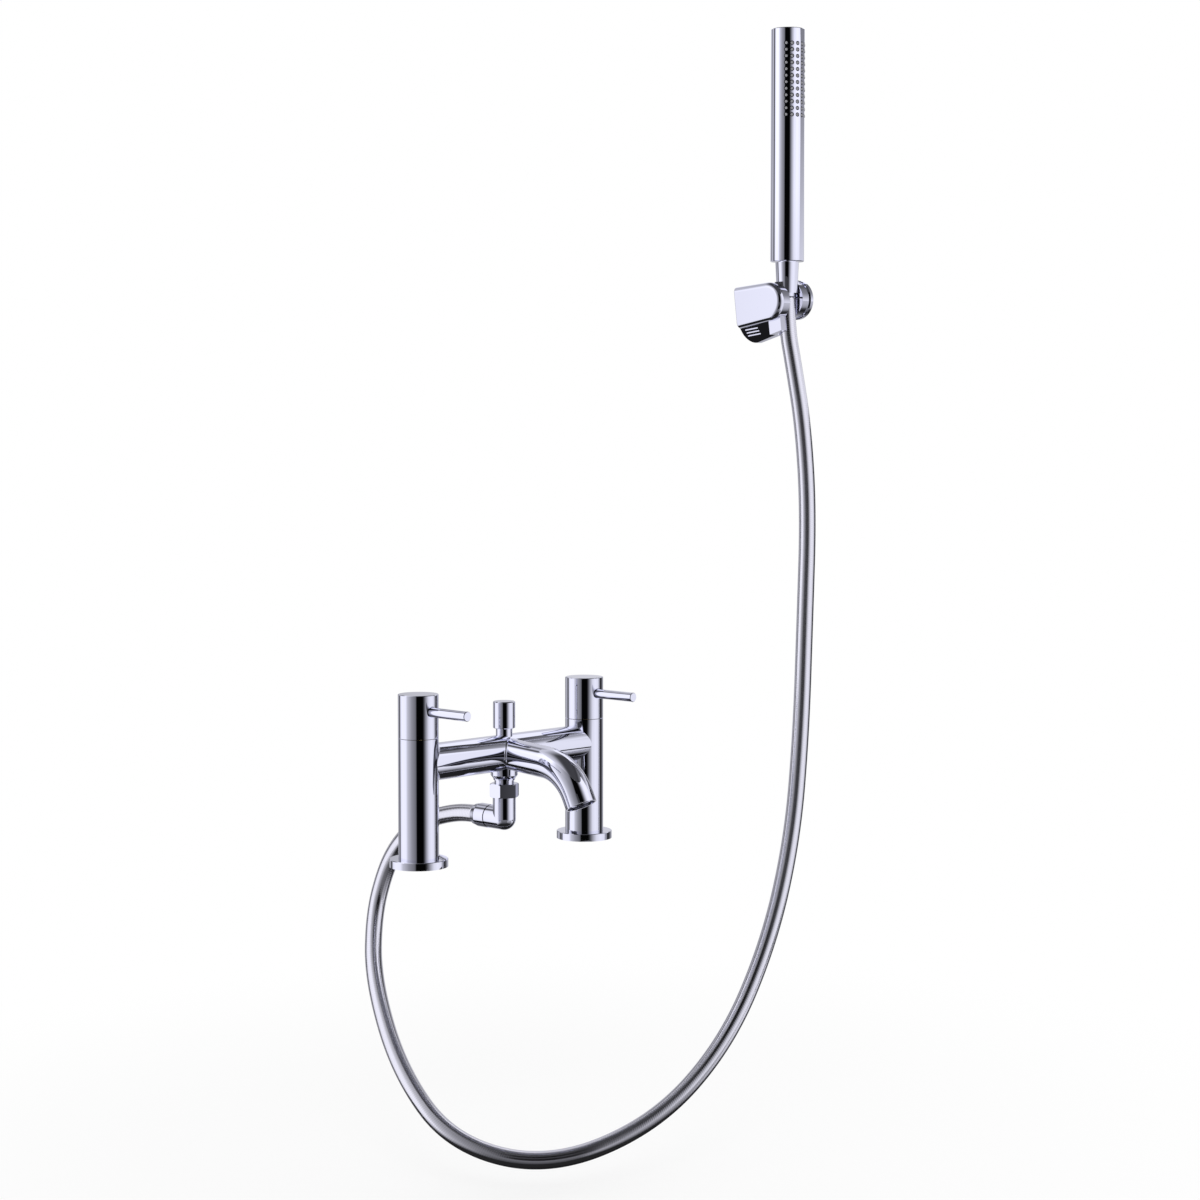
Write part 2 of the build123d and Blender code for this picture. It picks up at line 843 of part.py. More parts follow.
def arc_radii(route):
    points = [Vector(*p) for p in route]
    radii = []
    for before, here, after in zip(points, points[1:], points[2:]):
        turn = radians((here - before).get_angle(after - here))
        shorter_run = min((here - before).length, (after - here).length)
        radii.append(arc_run_share * shorter_run / tan(turn / 2))
    return radii


hose_radii = arc_radii(hose_route)
with BuildPart() as shower_hose:
    with BuildLine() as hose_path:
        FilletPolyline(*hose_route, radius=hose_radii)
    with BuildSketch(Plane(origin=hose_route[0], x_dir=(1, 0, 0), z_dir=(0, 1, 0))):
        Circle(hose_diameter / 2)
    sweep(path=hose_path.line)
save(shower_hose, "shower_hose")
hose_length = hose_path.wires()[0].length
hose_volume = pi * hose_diameter**2 / 4 * hose_length
print("hose radii", [round(r) for r in hose_radii])
print("hose length", round(hose_length, 1), "volume share", round(shower_hose.part.volume / hose_volume, 4))

upper_cone_nut = turned(
    handset_line,
    [
        (upper_ferrule_diameter / 2 + slide_gap, cone_nut_foot),
        (cone_nut_foot_diameter / 2, cone_nut_foot),
        (cone_nut_top_diameter / 2, cone_nut_top),
        (cone_nut_thread / 2, cone_nut_top),
        (cone_nut_thread / 2, lip_high),
        (spigot_diameter / 2 + slide_gap, lip_high),
        (spigot_diameter / 2 + slide_gap, grip_high),
        (upper_ferrule_diameter / 2 + slide_gap, grip_high),
    ],
)
save(upper_cone_nut, "upper_cone_nut")
upper_ferrule = turned(
    handset_line, ring_outline(spigot_diameter + 2 * slide_gap, upper_ferrule_diameter, hose_top, grip_high)
)
save(upper_ferrule, "upper_ferrule")
upper_hose_spigot = turned(
    handset_line,
    [
        (spigot_bore / 2, hose_top),
        (spigot_diameter / 2, hose_top),
        (spigot_diameter / 2, lip_high),
        (handset_neck_diameter / 2 - slide_gap, lip_high),
        (handset_neck_diameter / 2 - slide_gap, upper_washer_low),
        (spigot_bore / 2, upper_washer_low),
    ],
)
save(upper_hose_spigot, "upper_hose_spigot")
upper_washer_high = neck_low - free_gap
upper_hose_washer = turned(
    handset_line,
    ring_outline(
        spigot_diameter,
        handset_neck_diameter - 2 * slide_gap,
        upper_washer_low,
        upper_washer_high,
    ),
)
save(upper_hose_washer, "upper_hose_washer")

# Handset: threaded foot, tube with nozzle holes, end cap, waterway core, manifold and nozzle mat
tube_bore = handset_diameter - 2 * handset_wall
insert_diameter = tube_bore - 2 * slide_gap
handset_top = handset_foot_level + handset_length
foot_high = handset_foot_level + handset_foot_thickness
end_low = handset_top - handset_end_thickness
manifold_low = foot_high + core_length
nozzle_high = handset_top - nozzle_top_drop
nozzle_low = nozzle_high - (nozzle_rows - 1) * nozzle_pitch

handset_foot = turned(
    handset_line,
    [
        (handset_neck_bore / 2, neck_low),
        (handset_neck_diameter / 2, neck_low),
        (handset_neck_diameter / 2, handset_foot_level),
        (insert_diameter / 2, handset_foot_level),
        (insert_diameter / 2, foot_high),
        (handset_neck_bore / 2, foot_high),
    ],
)
save(handset_foot, "handset_foot")

nozzle_seats = []
for row in range(nozzle_rows):
    for column in range(nozzle_columns):
        turn = radians(-90 + nozzle_aim + (column - (nozzle_columns - 1) / 2) * nozzle_turn)
        nozzle_seats.append(
            Plane(
                origin=(handset_x, handset_y, nozzle_low + row * nozzle_pitch),
                x_dir=(0, 0, 1),
                z_dir=(cos(turn), sin(turn), 0),
            )
        )

with BuildPart() as handset_tube:
    with BuildSketch(handset_line[0]):
        with BuildLine():
            Polyline(
                (tube_bore / 2, handset_foot_level),
                (handset_r - handset_edge, handset_foot_level),
                (handset_r, handset_foot_level + handset_edge),
                (handset_r, handset_top - handset_edge),
                (handset_r - handset_edge, handset_top),
                (tube_bore / 2, handset_top),
                close=True,
            )
        make_face()
    revolve(axis=handset_line[1])
    with Locations(*nozzle_seats):
        Cylinder(
            nozzle_hole / 2,
            handset_r + overrun,
            align=(Align.CENTER, Align.CENTER, Align.MIN),
            mode=Mode.SUBTRACT,
        )
save(handset_tube, "handset_tube")

handset_end_cap = turned(handset_line, rod_outline(insert_diameter, end_low, handset_top, edge_break))
save(handset_end_cap, "handset_end_cap")

handset_core = turned(
    handset_line, ring_outline(core_diameter - 2 * core_wall, core_diameter, foot_high, manifold_low)
)
save(handset_core, "handset_core")

manifold_r = insert_diameter / 2 - mat_thickness - slide_gap
manifold_high = end_low - free_gap
with BuildPart() as spray_manifold:
    with BuildSketch(handset_line[0]):
        with BuildLine():
            Polyline(
                (core_diameter / 2 - core_wall, manifold_low),
                (manifold_r, manifold_low),
                (manifold_r, manifold_high),
                (0, manifold_high),
                (0, manifold_high - manifold_wall),
                (manifold_r - manifold_wall, manifold_high - manifold_wall),
                (manifold_r - manifold_wall, manifold_low + manifold_wall),
                (core_diameter / 2 - core_wall, manifold_low + manifold_wall),
                close=True,
            )
        make_face()
    revolve(axis=handset_line[1])
    with Locations(*nozzle_seats):
        Cylinder(
            nozzle_tip / 2,
            handset_r,
            align=(Align.CENTER, Align.CENTER, Align.MIN),
            mode=Mode.SUBTRACT,
        )
save(spray_manifold, "spray_manifold")

# A curved rubber mat behind the tube's wall, with one hollow tip in each hole
mat_start = radians(-90 + nozzle_aim - nozzle_columns / 2 * nozzle_turn)
mat_low = nozzle_low - mat_margin
mat_high = nozzle_high + mat_margin
mat_inner = manifold_r + slide_gap
with BuildPart() as nozzle_mat:
    with BuildSketch(
        Plane(
            origin=(handset_x, handset_y, 0),
            x_dir=(cos(mat_start), sin(mat_start), 0),
            z_dir=(sin(mat_start), -cos(mat_start), 0),
        )
    ):
        with BuildLine():
            Polyline(
                (mat_inner, mat_low),
                (insert_diameter / 2, mat_low),
                (insert_diameter / 2, mat_high),
                (mat_inner, mat_high),
                close=True,
            )
        make_face()
    revolve(axis=handset_line[1], revolution_arc=nozzle_columns * nozzle_turn)
    with Locations(*[seat.offset(mat_inner + mat_thickness / 2) for seat in nozzle_seats]):
        Cylinder(
            nozzle_tip / 2,
            handset_r + nozzle_proud - mat_inner - mat_thickness / 2,
            align=(Align.CENTER, Align.CENTER, Align.MIN),
        )
    with Locations(*nozzle_seats):
        Cylinder(
            nozzle_jet / 2,
            handset_r + overrun,
            align=(Align.CENTER, Align.CENTER, Align.MIN),
            mode=Mode.SUBTRACT,
        )
save(nozzle_mat, "nozzle_mat")

# Wall bracket: holder, socket liner, rose and fixing plate
tilt = radians(plate_tilt)
barrel_y = handset_y + barrel_offset_y
face_x = handset_x - plate_face_setback
block_back = handset_x + slot_width / 2
drum_y = barrel_y - rose_shift
drum_level = barrel_level + rose_rise
rose_face = wall_x - rose_depth
boss_front = wall_x - fixing_plate_depth - fixing_boss_depth
recess_front = boss_front - screw_head_room
drum_line = along_x(drum_y, drum_level)


def tilted_plane(x):
    # A plane facing the wall, turned by the plate's tilt.
    return Plane(origin=(x, barrel_y, barrel_level), x_dir=(0, cos(tilt), -sin(tilt)), z_dir=(1, 0, 0))


def side_plane(x):
    # A plane across the holder, along the plate's tilt.
    return Plane(origin=(x, barrel_y, barrel_level), x_dir=(1, 0, 0), z_dir=(0, -cos(tilt), sin(tilt)))


def socket_radius(level, gap):
    # The conical nut's radius at one level, plus a gap.
    share = (level - cone_nut_foot) / cone_nut_length
    return (cone_nut_foot_diameter + share * (cone_nut_top_diameter - cone_nut_foot_diameter)) / 2 + gap


socket_floor_level = cone_nut_foot - socket_floor_thickness
liner_top_level = socket_floor_level + liner_height
socket_top = liner_top_level + overrun
liner_gap = free_gap + socket_liner_wall
socket_gap = liner_gap + slide_gap

with BuildPart() as bracket_holder:
    # Lower shell, well rounded towards its underside, with three grip grooves
    with BuildSketch(tilted_plane(face_x + keel_setback)) as keel:
        with BuildLine():
            Polyline(
                (keel_end, -keel_root),
                (keel_end, -keel_end_drop),
                (-keel_front, -keel_front_drop),
                (-keel_front, -keel_root),
                close=True,
            )
        make_face()
        low_corners = keel.vertices().sort_by(Axis.Y)[:2].sort_by(Axis.X)
        fillet(low_corners[1], keel_end_radius)
        fillet(low_corners[0], keel_front_radius)
    extrude(amount=keel_depth)
    # Most of its front leans back from the brow down to the underside
    with BuildSketch(side_plane(face_x + keel_setback).offset(-keel_step)):
        with BuildLine():
            Polyline(
                (-overrun, -keel_brow),
                (0, -keel_brow),
                (keel_lean, -keel_end_drop - overrun),
                (-overrun, -keel_end_drop - overrun),
                close=True,
            )
        make_face()
    extrude(amount=-keel_end, mode=Mode.SUBTRACT)
    with BuildSketch(side_plane(face_x + keel_setback).offset(grip_length / 2 - grip_centre)):
        for row in range(grip_count):
            level = grip_top - keel_brow + row * grip_pitch
            share = level / (keel_end_drop + overrun - keel_brow)
            with Locations((share * keel_lean, -keel_brow - level)):
                Rectangle(2 * grip_depth, grip_width)
    extrude(amount=-grip_length, mode=Mode.SUBTRACT)
    # Holder block with a rounded left end, its face parallel to the wall
    with BuildSketch(tilted_plane(face_x)):
        with BuildLine():
            Polyline(
                (0, plate_round_radius),
                (plate_length, plate_end_half_height),
                (plate_length, -plate_end_half_height),
                (0, -plate_round_radius),
            )
            ThreePointArc((0, -plate_round_radius), (-plate_round_radius, 0), (0, plate_round_radius))
        make_face()
    extrude(amount=block_back - face_x)
    round_end = bracket_holder.faces().sort_by(Axis.X)[0].outer_wire().edges().filter_by(GeomType.CIRCLE)
    fillet(round_end, plate_round_edge)
    flat_face = bracket_holder.faces().sort_by(Axis.X)[0]
    fillet(flat_face.outer_wire().edges().filter_by(GeomType.LINE), plate_edge)
    # Drum that turns on the fixing boss
    with BuildSketch(Plane(origin=(block_back, drum_y, drum_level), x_dir=(0, 1, 0), z_dir=(1, 0, 0))):
        Circle(drum_radius)
    extrude(amount=rose_face - block_back)
    with BuildSketch(Plane(origin=(rose_face, drum_y, drum_level), x_dir=(0, 1, 0), z_dir=(1, 0, 0))):
        Circle(fixing_boss_diameter / 2 + slide_gap)
    extrude(amount=recess_front - rose_face, mode=Mode.SUBTRACT)
    # Open slot for the hose and a conical socket for the nut
    with BuildSketch(Plane.XY.offset(socket_top)):
        with Locations((handset_x, handset_y)):
            Circle(slot_width / 2)
            Rectangle(slot_width, plate_length, align=(Align.CENTER, Align.MAX))
    extrude(amount=-slot_run, mode=Mode.SUBTRACT)
    with BuildSketch(handset_line[0]):
        with BuildLine():
            Polyline(
                (0, socket_floor_level),
                (socket_radius(socket_floor_level, socket_gap), socket_floor_level),
                (socket_radius(socket_top, socket_gap), socket_top),
                (0, socket_top),
                close=True,
            )
        make_face()
    revolve(axis=handset_line[1], mode=Mode.SUBTRACT)
    with BuildSketch(Plane.XY.offset(drum_level - drum_radius)):
        with Locations((rose_face - holder_grub_setback, drum_y)):
            Circle(holder_grub_diameter / 2 + slide_gap)
    extrude(amount=drum_radius, mode=Mode.SUBTRACT)
save(bracket_holder, "bracket_holder")

with BuildPart() as socket_liner:
    with BuildSketch(handset_line[0]):
        with BuildLine():
            Polyline(
                (slot_width / 2, socket_floor_level),
                (socket_radius(socket_floor_level, liner_gap), socket_floor_level),
                (socket_radius(liner_top_level, liner_gap), liner_top_level),
                (socket_radius(liner_top_level, free_gap), liner_top_level),
                (socket_radius(cone_nut_foot, free_gap), cone_nut_foot),
                (slot_width / 2, cone_nut_foot),
                close=True,
            )
        make_face()
    revolve(axis=handset_line[1])
    with Locations((handset_x, handset_y - liner_opening, socket_floor_level)):
        Box(hose_room, hose_room, hose_room, align=(Align.CENTER, Align.MAX, Align.MIN), mode=Mode.SUBTRACT)
save(socket_liner, "socket_liner")

wall_rose = turned(
    drum_line,
    [
        (rose_face, rose_bore / 2),
        (rose_face, rose_radius - rose_edge),
        (rose_face + rose_edge, rose_radius),
        (wall_x, rose_radius),
        (wall_x, rose_bore / 2),
    ],
)
save(wall_rose, "wall_rose")

with BuildPart() as fixing_plate:
    with BuildSketch(drum_line[0]):
        with BuildLine():
            Polyline(
                (boss_front, 0),
                (boss_front, fixing_boss_diameter / 2),
                (wall_x - fixing_plate_depth, fixing_boss_diameter / 2),
                (wall_x - fixing_plate_depth, rose_bore / 2 - slide_gap),
                (wall_x, rose_bore / 2 - slide_gap),
                (wall_x, 0),
                close=True,
            )
        make_face()
    revolve(axis=drum_line[1])
    for level in (drum_level - fixing_screw_spacing / 2, drum_level + fixing_screw_spacing / 2):
        with BuildSketch(Plane(origin=(wall_x, drum_y, level), x_dir=(0, 1, 0), z_dir=(1, 0, 0))):
            Circle(fixing_screw_hole / 2)
        extrude(amount=boss_front - wall_x, mode=Mode.SUBTRACT)
save(fixing_plate, "fixing_plate")

holder_grub_high = drum_level - fixing_boss_diameter / 2
holder_grub_line = upright(rose_face - holder_grub_setback, drum_y)
with BuildPart() as holder_grub_screw:
    with BuildSketch(holder_grub_line[0]):
        with BuildLine():
            Polyline(
                *rod_outline(holder_grub_diameter, holder_grub_high - holder_grub_length, holder_grub_high),
                close=True,
            )
        make_face()
    revolve(axis=holder_grub_line[1])
    with BuildSketch(
        Plane(
            origin=(rose_face - holder_grub_setback, drum_y, holder_grub_high - holder_grub_length),
            x_dir=(1, 0, 0),
            z_dir=(0, 0, -1),
        )
    ):
        RegularPolygon(holder_grub_socket / 2, 6, major_radius=False)
    extrude(amount=-holder_grub_socket_depth, mode=Mode.SUBTRACT)
save(holder_grub_screw, "holder_grub_screw")
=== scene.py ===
"""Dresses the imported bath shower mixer: plated metal, hose, nozzles, return spring and a plain studio."""

import json
import math

import bmesh
import bpy
from mathutils import Matrix, Vector


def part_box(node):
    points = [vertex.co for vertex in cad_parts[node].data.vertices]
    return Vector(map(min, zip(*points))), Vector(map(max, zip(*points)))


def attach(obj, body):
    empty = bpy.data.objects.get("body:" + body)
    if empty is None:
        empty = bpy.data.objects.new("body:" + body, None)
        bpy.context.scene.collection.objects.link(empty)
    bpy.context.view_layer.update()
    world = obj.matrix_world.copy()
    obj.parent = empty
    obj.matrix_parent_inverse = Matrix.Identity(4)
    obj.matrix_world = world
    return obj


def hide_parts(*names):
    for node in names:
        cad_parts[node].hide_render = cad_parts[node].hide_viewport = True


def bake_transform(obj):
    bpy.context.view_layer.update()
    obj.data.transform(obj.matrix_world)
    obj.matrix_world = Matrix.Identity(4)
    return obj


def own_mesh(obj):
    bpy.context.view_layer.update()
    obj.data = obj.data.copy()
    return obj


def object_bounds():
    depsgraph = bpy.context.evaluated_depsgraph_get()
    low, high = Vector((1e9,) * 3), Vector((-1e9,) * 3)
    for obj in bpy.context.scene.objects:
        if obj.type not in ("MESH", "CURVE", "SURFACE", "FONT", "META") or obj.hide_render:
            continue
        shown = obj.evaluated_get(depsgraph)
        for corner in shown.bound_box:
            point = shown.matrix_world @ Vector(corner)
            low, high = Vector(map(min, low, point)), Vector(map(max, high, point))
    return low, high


bl_info = {
    "name": "Bath shower mixer dressing",
    "version": (1, 0, 0),
    "blender": (4, 5, 0),
    "location": "3D View > Sidebar > Mixer",
    "description": "Materials, hose, nozzles, spring and studio for a bath shower mixer",
    "category": "Object",
}

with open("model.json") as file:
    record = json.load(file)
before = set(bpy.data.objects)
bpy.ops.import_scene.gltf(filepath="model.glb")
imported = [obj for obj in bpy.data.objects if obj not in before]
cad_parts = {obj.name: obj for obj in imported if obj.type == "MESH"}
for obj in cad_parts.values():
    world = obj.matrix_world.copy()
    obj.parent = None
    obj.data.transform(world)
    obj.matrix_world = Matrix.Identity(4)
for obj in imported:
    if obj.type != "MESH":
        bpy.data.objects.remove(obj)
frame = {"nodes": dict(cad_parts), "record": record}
cad_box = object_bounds()

# The hanging hose's route, in metres, from the elbow behind the mixer to the handset's conical nut
HOSE_ROUTE = [
    (0.0, 0.031, 0.026),
    (0.0, 0.045, 0.026),
    (0.0, 0.065, 0.0225),
    (0.0, 0.085, 0.0168),
    (-0.001, 0.1052, 0.0074),
    (-0.003, 0.1233, -0.0091),
    (-0.007, 0.135, -0.031),
    (-0.0155, 0.140, -0.068),
    (-0.0345, 0.1195, -0.116),
    (-0.053, 0.066, -0.178),
    (-0.054, 0.003, -0.223),
    (-0.0105, -0.0605, -0.238),
    (0.069, -0.098, -0.213),
    (0.1385, -0.1115, -0.160),
    (0.189, -0.1135, -0.086),
    (0.221, -0.1115, -0.005),
    (0.238, -0.1065, 0.080),
    (0.248, -0.102, 0.174),
    (0.256, -0.0987, 0.265),
    (0.254, -0.0945, 0.335),
    (0.249, -0.088, 0.386),
    (0.245, -0.084, 0.4177),
    (0.245, -0.084, 0.4427),
]
HANDSET_AXIS = Vector((0.245, -0.084, 0.0))

# Fineness of the meshes: sides of a nozzle, steps round the mat, steps in a spring turn, sides of its wire
NOZZLE_SIDES = 14
MAT_STEPS = 36
SPRING_STEPS = 32
WIRE_SIDES = 10
# Sides of the round cards and of the floor
DISC_SIDES = 96

# Which material each slot of the record gets
SLOT_MATERIALS = {
    "chrome": "polished_chrome",
    "plated_plastic": "plated_moulding",
    "brass": "turned_brass",
    "steel": "plain_steel",
    "rubber": "black_rubber",
    "nozzle_rubber": "pale_silicone",
    "ceramic": "lapped_ceramic",
    "white_plastic": "white_moulding",
    "black_plastic": "black_moulding",
    "hose_sleeve": "silver_hose",
}

# Plated plastic reflects this share of the chrome's light, and is this much rougher
PLASTIC_PLATE_SHARE = 0.89
PLASTIC_PLATE_BLUR = 0.015


def linear(level):
    # A display level from 0 to 255 as scene light.
    share = level / 255
    if share <= 0.04045:
        return share / 12.92
    return ((share + 0.055) / 1.055) ** 2.4


def shade(red, green, blue):
    return linear(red), linear(green), linear(blue), 1.0


# Sizes and colours that a user would change


class PlatingSettings(bpy.types.PropertyGroup):
    tint: bpy.props.FloatVectorProperty(
        name="Plate tint",
        description="Colour of the chrome plate",
        subtype="COLOR",
        size=3,
        default=(0.86, 0.868, 0.98),
    )
    gloss: bpy.props.FloatProperty(
        name="Roughness", description="Roughness of clean plate", default=0.006, min=0.0, max=1.0
    )
    haze: bpy.props.FloatProperty(
        name="Haze", description="Roughness added by faint smears", default=0.02, min=0.0, max=1.0
    )


class HoseSettings(bpy.types.PropertyGroup):
    diameter: bpy.props.FloatProperty(
        name="Diameter", description="Outer diameter of the hose", default=0.014, unit="LENGTH"
    )
    length: bpy.props.FloatProperty(
        name="Length", description="Length of the hose", default=1.258, unit="LENGTH"
    )
    ring_gap: bpy.props.FloatProperty(
        name="Ring gap", description="Distance between the tube's rings", default=0.0025, unit="LENGTH"
    )
    sides: bpy.props.IntProperty(name="Sides", description="Points round the tube", default=40, min=8)
    tint: bpy.props.FloatVectorProperty(
        name="Sleeve tint",
        description="Colour of the silver sleeve",
        subtype="COLOR",
        size=3,
        default=(0.87, 0.865, 0.93),
    )


class NozzleSettings(bpy.types.PropertyGroup):
    rows: bpy.props.IntProperty(name="Rows", description="Nozzles along the handset", default=12, min=1)
    columns: bpy.props.IntProperty(name="Columns", description="Nozzles round the handset", default=6, min=1)
    pitch: bpy.props.FloatProperty(
        name="Pitch", description="Distance between rows", default=0.0053, unit="LENGTH"
    )
    turn: bpy.props.FloatProperty(
        name="Turn", description="Angle between columns", default=math.radians(20.5), subtype="ANGLE"
    )
    aim: bpy.props.FloatProperty(
        name="Aim", description="Turn of the whole nozzle field", default=math.radians(-5), subtype="ANGLE"
    )
    top_row: bpy.props.FloatProperty(
        name="Top row", description="Height of the top row", default=0.6494, unit="LENGTH"
    )
    tip_radius: bpy.props.FloatProperty(
        name="Tip radius", description="Radius of a nozzle's tip", default=0.00105, unit="LENGTH"
    )
    proud: bpy.props.FloatProperty(
        name="Reach",
        description="Distance from the handset's axis to a tip's end",
        default=0.0143,
        unit="LENGTH",
    )
    mat_outer: bpy.props.FloatProperty(
        name="Mat radius", description="Outer radius of the rubber mat", default=0.01245, unit="LENGTH"
    )
    mat_inner: bpy.props.FloatProperty(
        name="Mat inside", description="Inner radius of the rubber mat", default=0.01125, unit="LENGTH"
    )
    margin: bpy.props.FloatProperty(
        name="Margin", description="Mat left round the outer nozzles", default=0.004, unit="LENGTH"
    )


class SpringSettings(bpy.types.PropertyGroup):
    coils: bpy.props.FloatProperty(name="Coils", description="Turns of the return spring", default=5.0)
    wire: bpy.props.FloatProperty(name="Wire", description="Wire diameter", default=0.0009, unit="LENGTH")


class StudioSettings(bpy.types.PropertyGroup):
    floor_drop: bpy.props.FloatProperty(
        name="Floor drop", description="Gap under the lowest point of the hose", default=0.02, unit="LENGTH"
    )
    wall_radius: bpy.props.FloatProperty(
        name="Wall radius", description="Radius of the ring of studio cards", default=0.78, unit="LENGTH"
    )
    wall_top: bpy.props.FloatProperty(
        name="Wall top", description="Height of the ring's upper edge", default=1.02, unit="LENGTH"
    )
    wall_bottom: bpy.props.FloatProperty(
        name="Wall bottom", description="Height of the ring's lower edge", default=-0.75, unit="LENGTH"
    )
    ring_offset: bpy.props.FloatProperty(
        name="Ring offset",
        description="Shift of the ring to the right of the view",
        default=0.08,
        unit="LENGTH",
    )
    lens: bpy.props.FloatProperty(
        name="Lens", description="Focal length of the camera", default=70.97, unit="CAMERA"
    )
    shift: bpy.props.FloatProperty(
        name="Shift", description="Upward shift of the camera", default=-0.0458
    )
    azimuth: bpy.props.FloatProperty(
        name="Azimuth",
        description="Camera's angle round the object",
        default=math.radians(-45.99),
        subtype="ANGLE",
    )
    elevation: bpy.props.FloatProperty(
        name="Elevation",
        description="Camera's angle above level",
        default=math.radians(2.683),
        subtype="ANGLE",
    )
    camera_place: bpy.props.FloatVectorProperty(
        name="Camera",
        description="Where the camera stands",
        size=3,
        default=(-1.2806, -1.3420, 0.3286),
        subtype="TRANSLATION",
    )


# Node helpers and shared effects


def wire(tree, source, out, target, into):
    tree.links.new(source.outputs[out], target.inputs[into])


def add(tree, kind, **values):
    node = tree.nodes.new(kind)
    for name, value in values.items():
        setattr(node, name, value)
    return node


def new_group(name, inputs, outputs):
    group = bpy.data.node_groups.new(name, "ShaderNodeTree")
    for label, kind, default in inputs:
        socket = group.interface.new_socket(name=label, in_out="INPUT", socket_type=kind)
        socket.default_value = default
    for label, kind in outputs:
        group.interface.new_socket(name=label, in_out="OUTPUT", socket_type=kind)
    return group, group.nodes.new("NodeGroupInput"), group.nodes.new("NodeGroupOutput")


def smear_group():
    # Faint wiped smears and fine dust on plated or polished metal.
    group, entry, leave = new_group(
        "surface_smears",
        [
            ("Tint", "NodeSocketColor", (0.9, 0.9, 0.9, 1.0)),
            ("Clean Roughness", "NodeSocketFloat", 0.05),
            ("Haze", "NodeSocketFloat", 0.05),
            ("Scale", "NodeSocketFloat", 30.0),
        ],
        [("Color", "NodeSocketColor"), ("Roughness", "NodeSocketFloat"), ("Height", "NodeSocketFloat")],
    )
    place = add(group, "ShaderNodeTexCoord")
    stretch = add(group, "ShaderNodeMapping")
    stretch.inputs["Scale"].default_value = (1.0, 1.0, 0.35)
    smear = add(group, "ShaderNodeTexNoise", noise_dimensions="3D")
    smear.inputs["Detail"].default_value = 4.0
    soft = add(group, "ShaderNodeMapRange", interpolation_type="SMOOTHSTEP")
    soft.inputs["From Min"].default_value = 0.48
    soft.inputs["From Max"].default_value = 0.78
    haze = add(group, "ShaderNodeMath", operation="MULTIPLY")
    rough = add(group, "ShaderNodeMath", operation="ADD")
    fleck = add(group, "ShaderNodeTexNoise", noise_dimensions="3D")
    fleck.inputs["Scale"].default_value = 900.0
    tone = add(group, "ShaderNodeMapRange")
    tone.inputs["To Min"].default_value = 0.97
    tone.inputs["To Max"].default_value = 1.0
    mix = add(group, "ShaderNodeMix", data_type="RGBA", blend_type="MULTIPLY")
    mix.inputs["Factor"].default_value = 1.0
    wire(group, place, "Object", stretch, "Vector")
    wire(group, stretch, "Vector", smear, "Vector")
    wire(group, entry, "Scale", smear, "Scale")
    wire(group, smear, "Fac", soft, "Value")
    wire(group, soft, "Result", haze, 0)
    wire(group, entry, "Haze", haze, 1)
    wire(group, haze, "Value", rough, 0)
    wire(group, entry, "Clean Roughness", rough, 1)
    wire(group, rough, "Value", leave, "Roughness")
    wire(group, place, "Object", fleck, "Vector")
    wire(group, smear, "Fac", tone, "Value")
    wire(group, entry, "Tint", mix, "A")
    wire(group, tone, "Result", mix, "B")
    wire(group, mix, "Result", leave, "Color")
    wire(group, fleck, "Fac", leave, "Height")
    return group


def grain_group():
    # Moulded or cast grain: a little unevenness in colour and height.
    group, entry, leave = new_group(
        "moulded_grain",
        [
            ("Tint", "NodeSocketColor", (0.5, 0.5, 0.5, 1.0)),
            ("Variation", "NodeSocketFloat", 0.08),
            ("Scale", "NodeSocketFloat", 400.0),
        ],
        [("Color", "NodeSocketColor"), ("Height", "NodeSocketFloat")],
    )
    place = add(group, "ShaderNodeTexCoord")
    grain = add(group, "ShaderNodeTexNoise", noise_dimensions="3D")
    grain.inputs["Detail"].default_value = 3.0
    dark = add(group, "ShaderNodeMath", operation="MULTIPLY")
    keep = add(group, "ShaderNodeMath", operation="SUBTRACT")
    keep.inputs[0].default_value = 1.0
    mix = add(group, "ShaderNodeMix", data_type="RGBA", blend_type="MULTIPLY")
    mix.inputs["Factor"].default_value = 1.0
    wire(group, place, "Object", grain, "Vector")
    wire(group, entry, "Scale", grain, "Scale")
    wire(group, grain, "Fac", dark, 0)
    wire(group, entry, "Variation", dark, 1)
    wire(group, dark, "Value", keep, 1)
    wire(group, entry, "Tint", mix, "A")
    wire(group, keep, "Value", mix, "B")
    wire(group, mix, "Result", leave, "Color")
    wire(group, grain, "Fac", leave, "Height")
    return group


def metal(name, tint, clean, haze, scale, bump):
    material = bpy.data.materials.new(name)
    material.use_nodes = True
    tree = material.node_tree
    shader = tree.nodes["Principled BSDF"]
    shader.inputs["Metallic"].default_value = 1.0
    smears = add(tree, "ShaderNodeGroup", node_tree=bpy.data.node_groups["surface_smears"])
    smears.inputs["Tint"].default_value = (*tint, 1.0)
    smears.inputs["Clean Roughness"].default_value = clean
    smears.inputs["Haze"].default_value = haze
    smears.inputs["Scale"].default_value = scale
    wire(tree, smears, "Color", shader, "Base Color")
    wire(tree, smears, "Roughness", shader, "Roughness")
    if bump:
        bumps = add(tree, "ShaderNodeBump")
        bumps.inputs["Strength"].default_value = bump
        bumps.inputs["Distance"].default_value = 0.00002
        wire(tree, smears, "Height", bumps, "Height")
        wire(tree, bumps, "Normal", shader, "Normal")
    return material


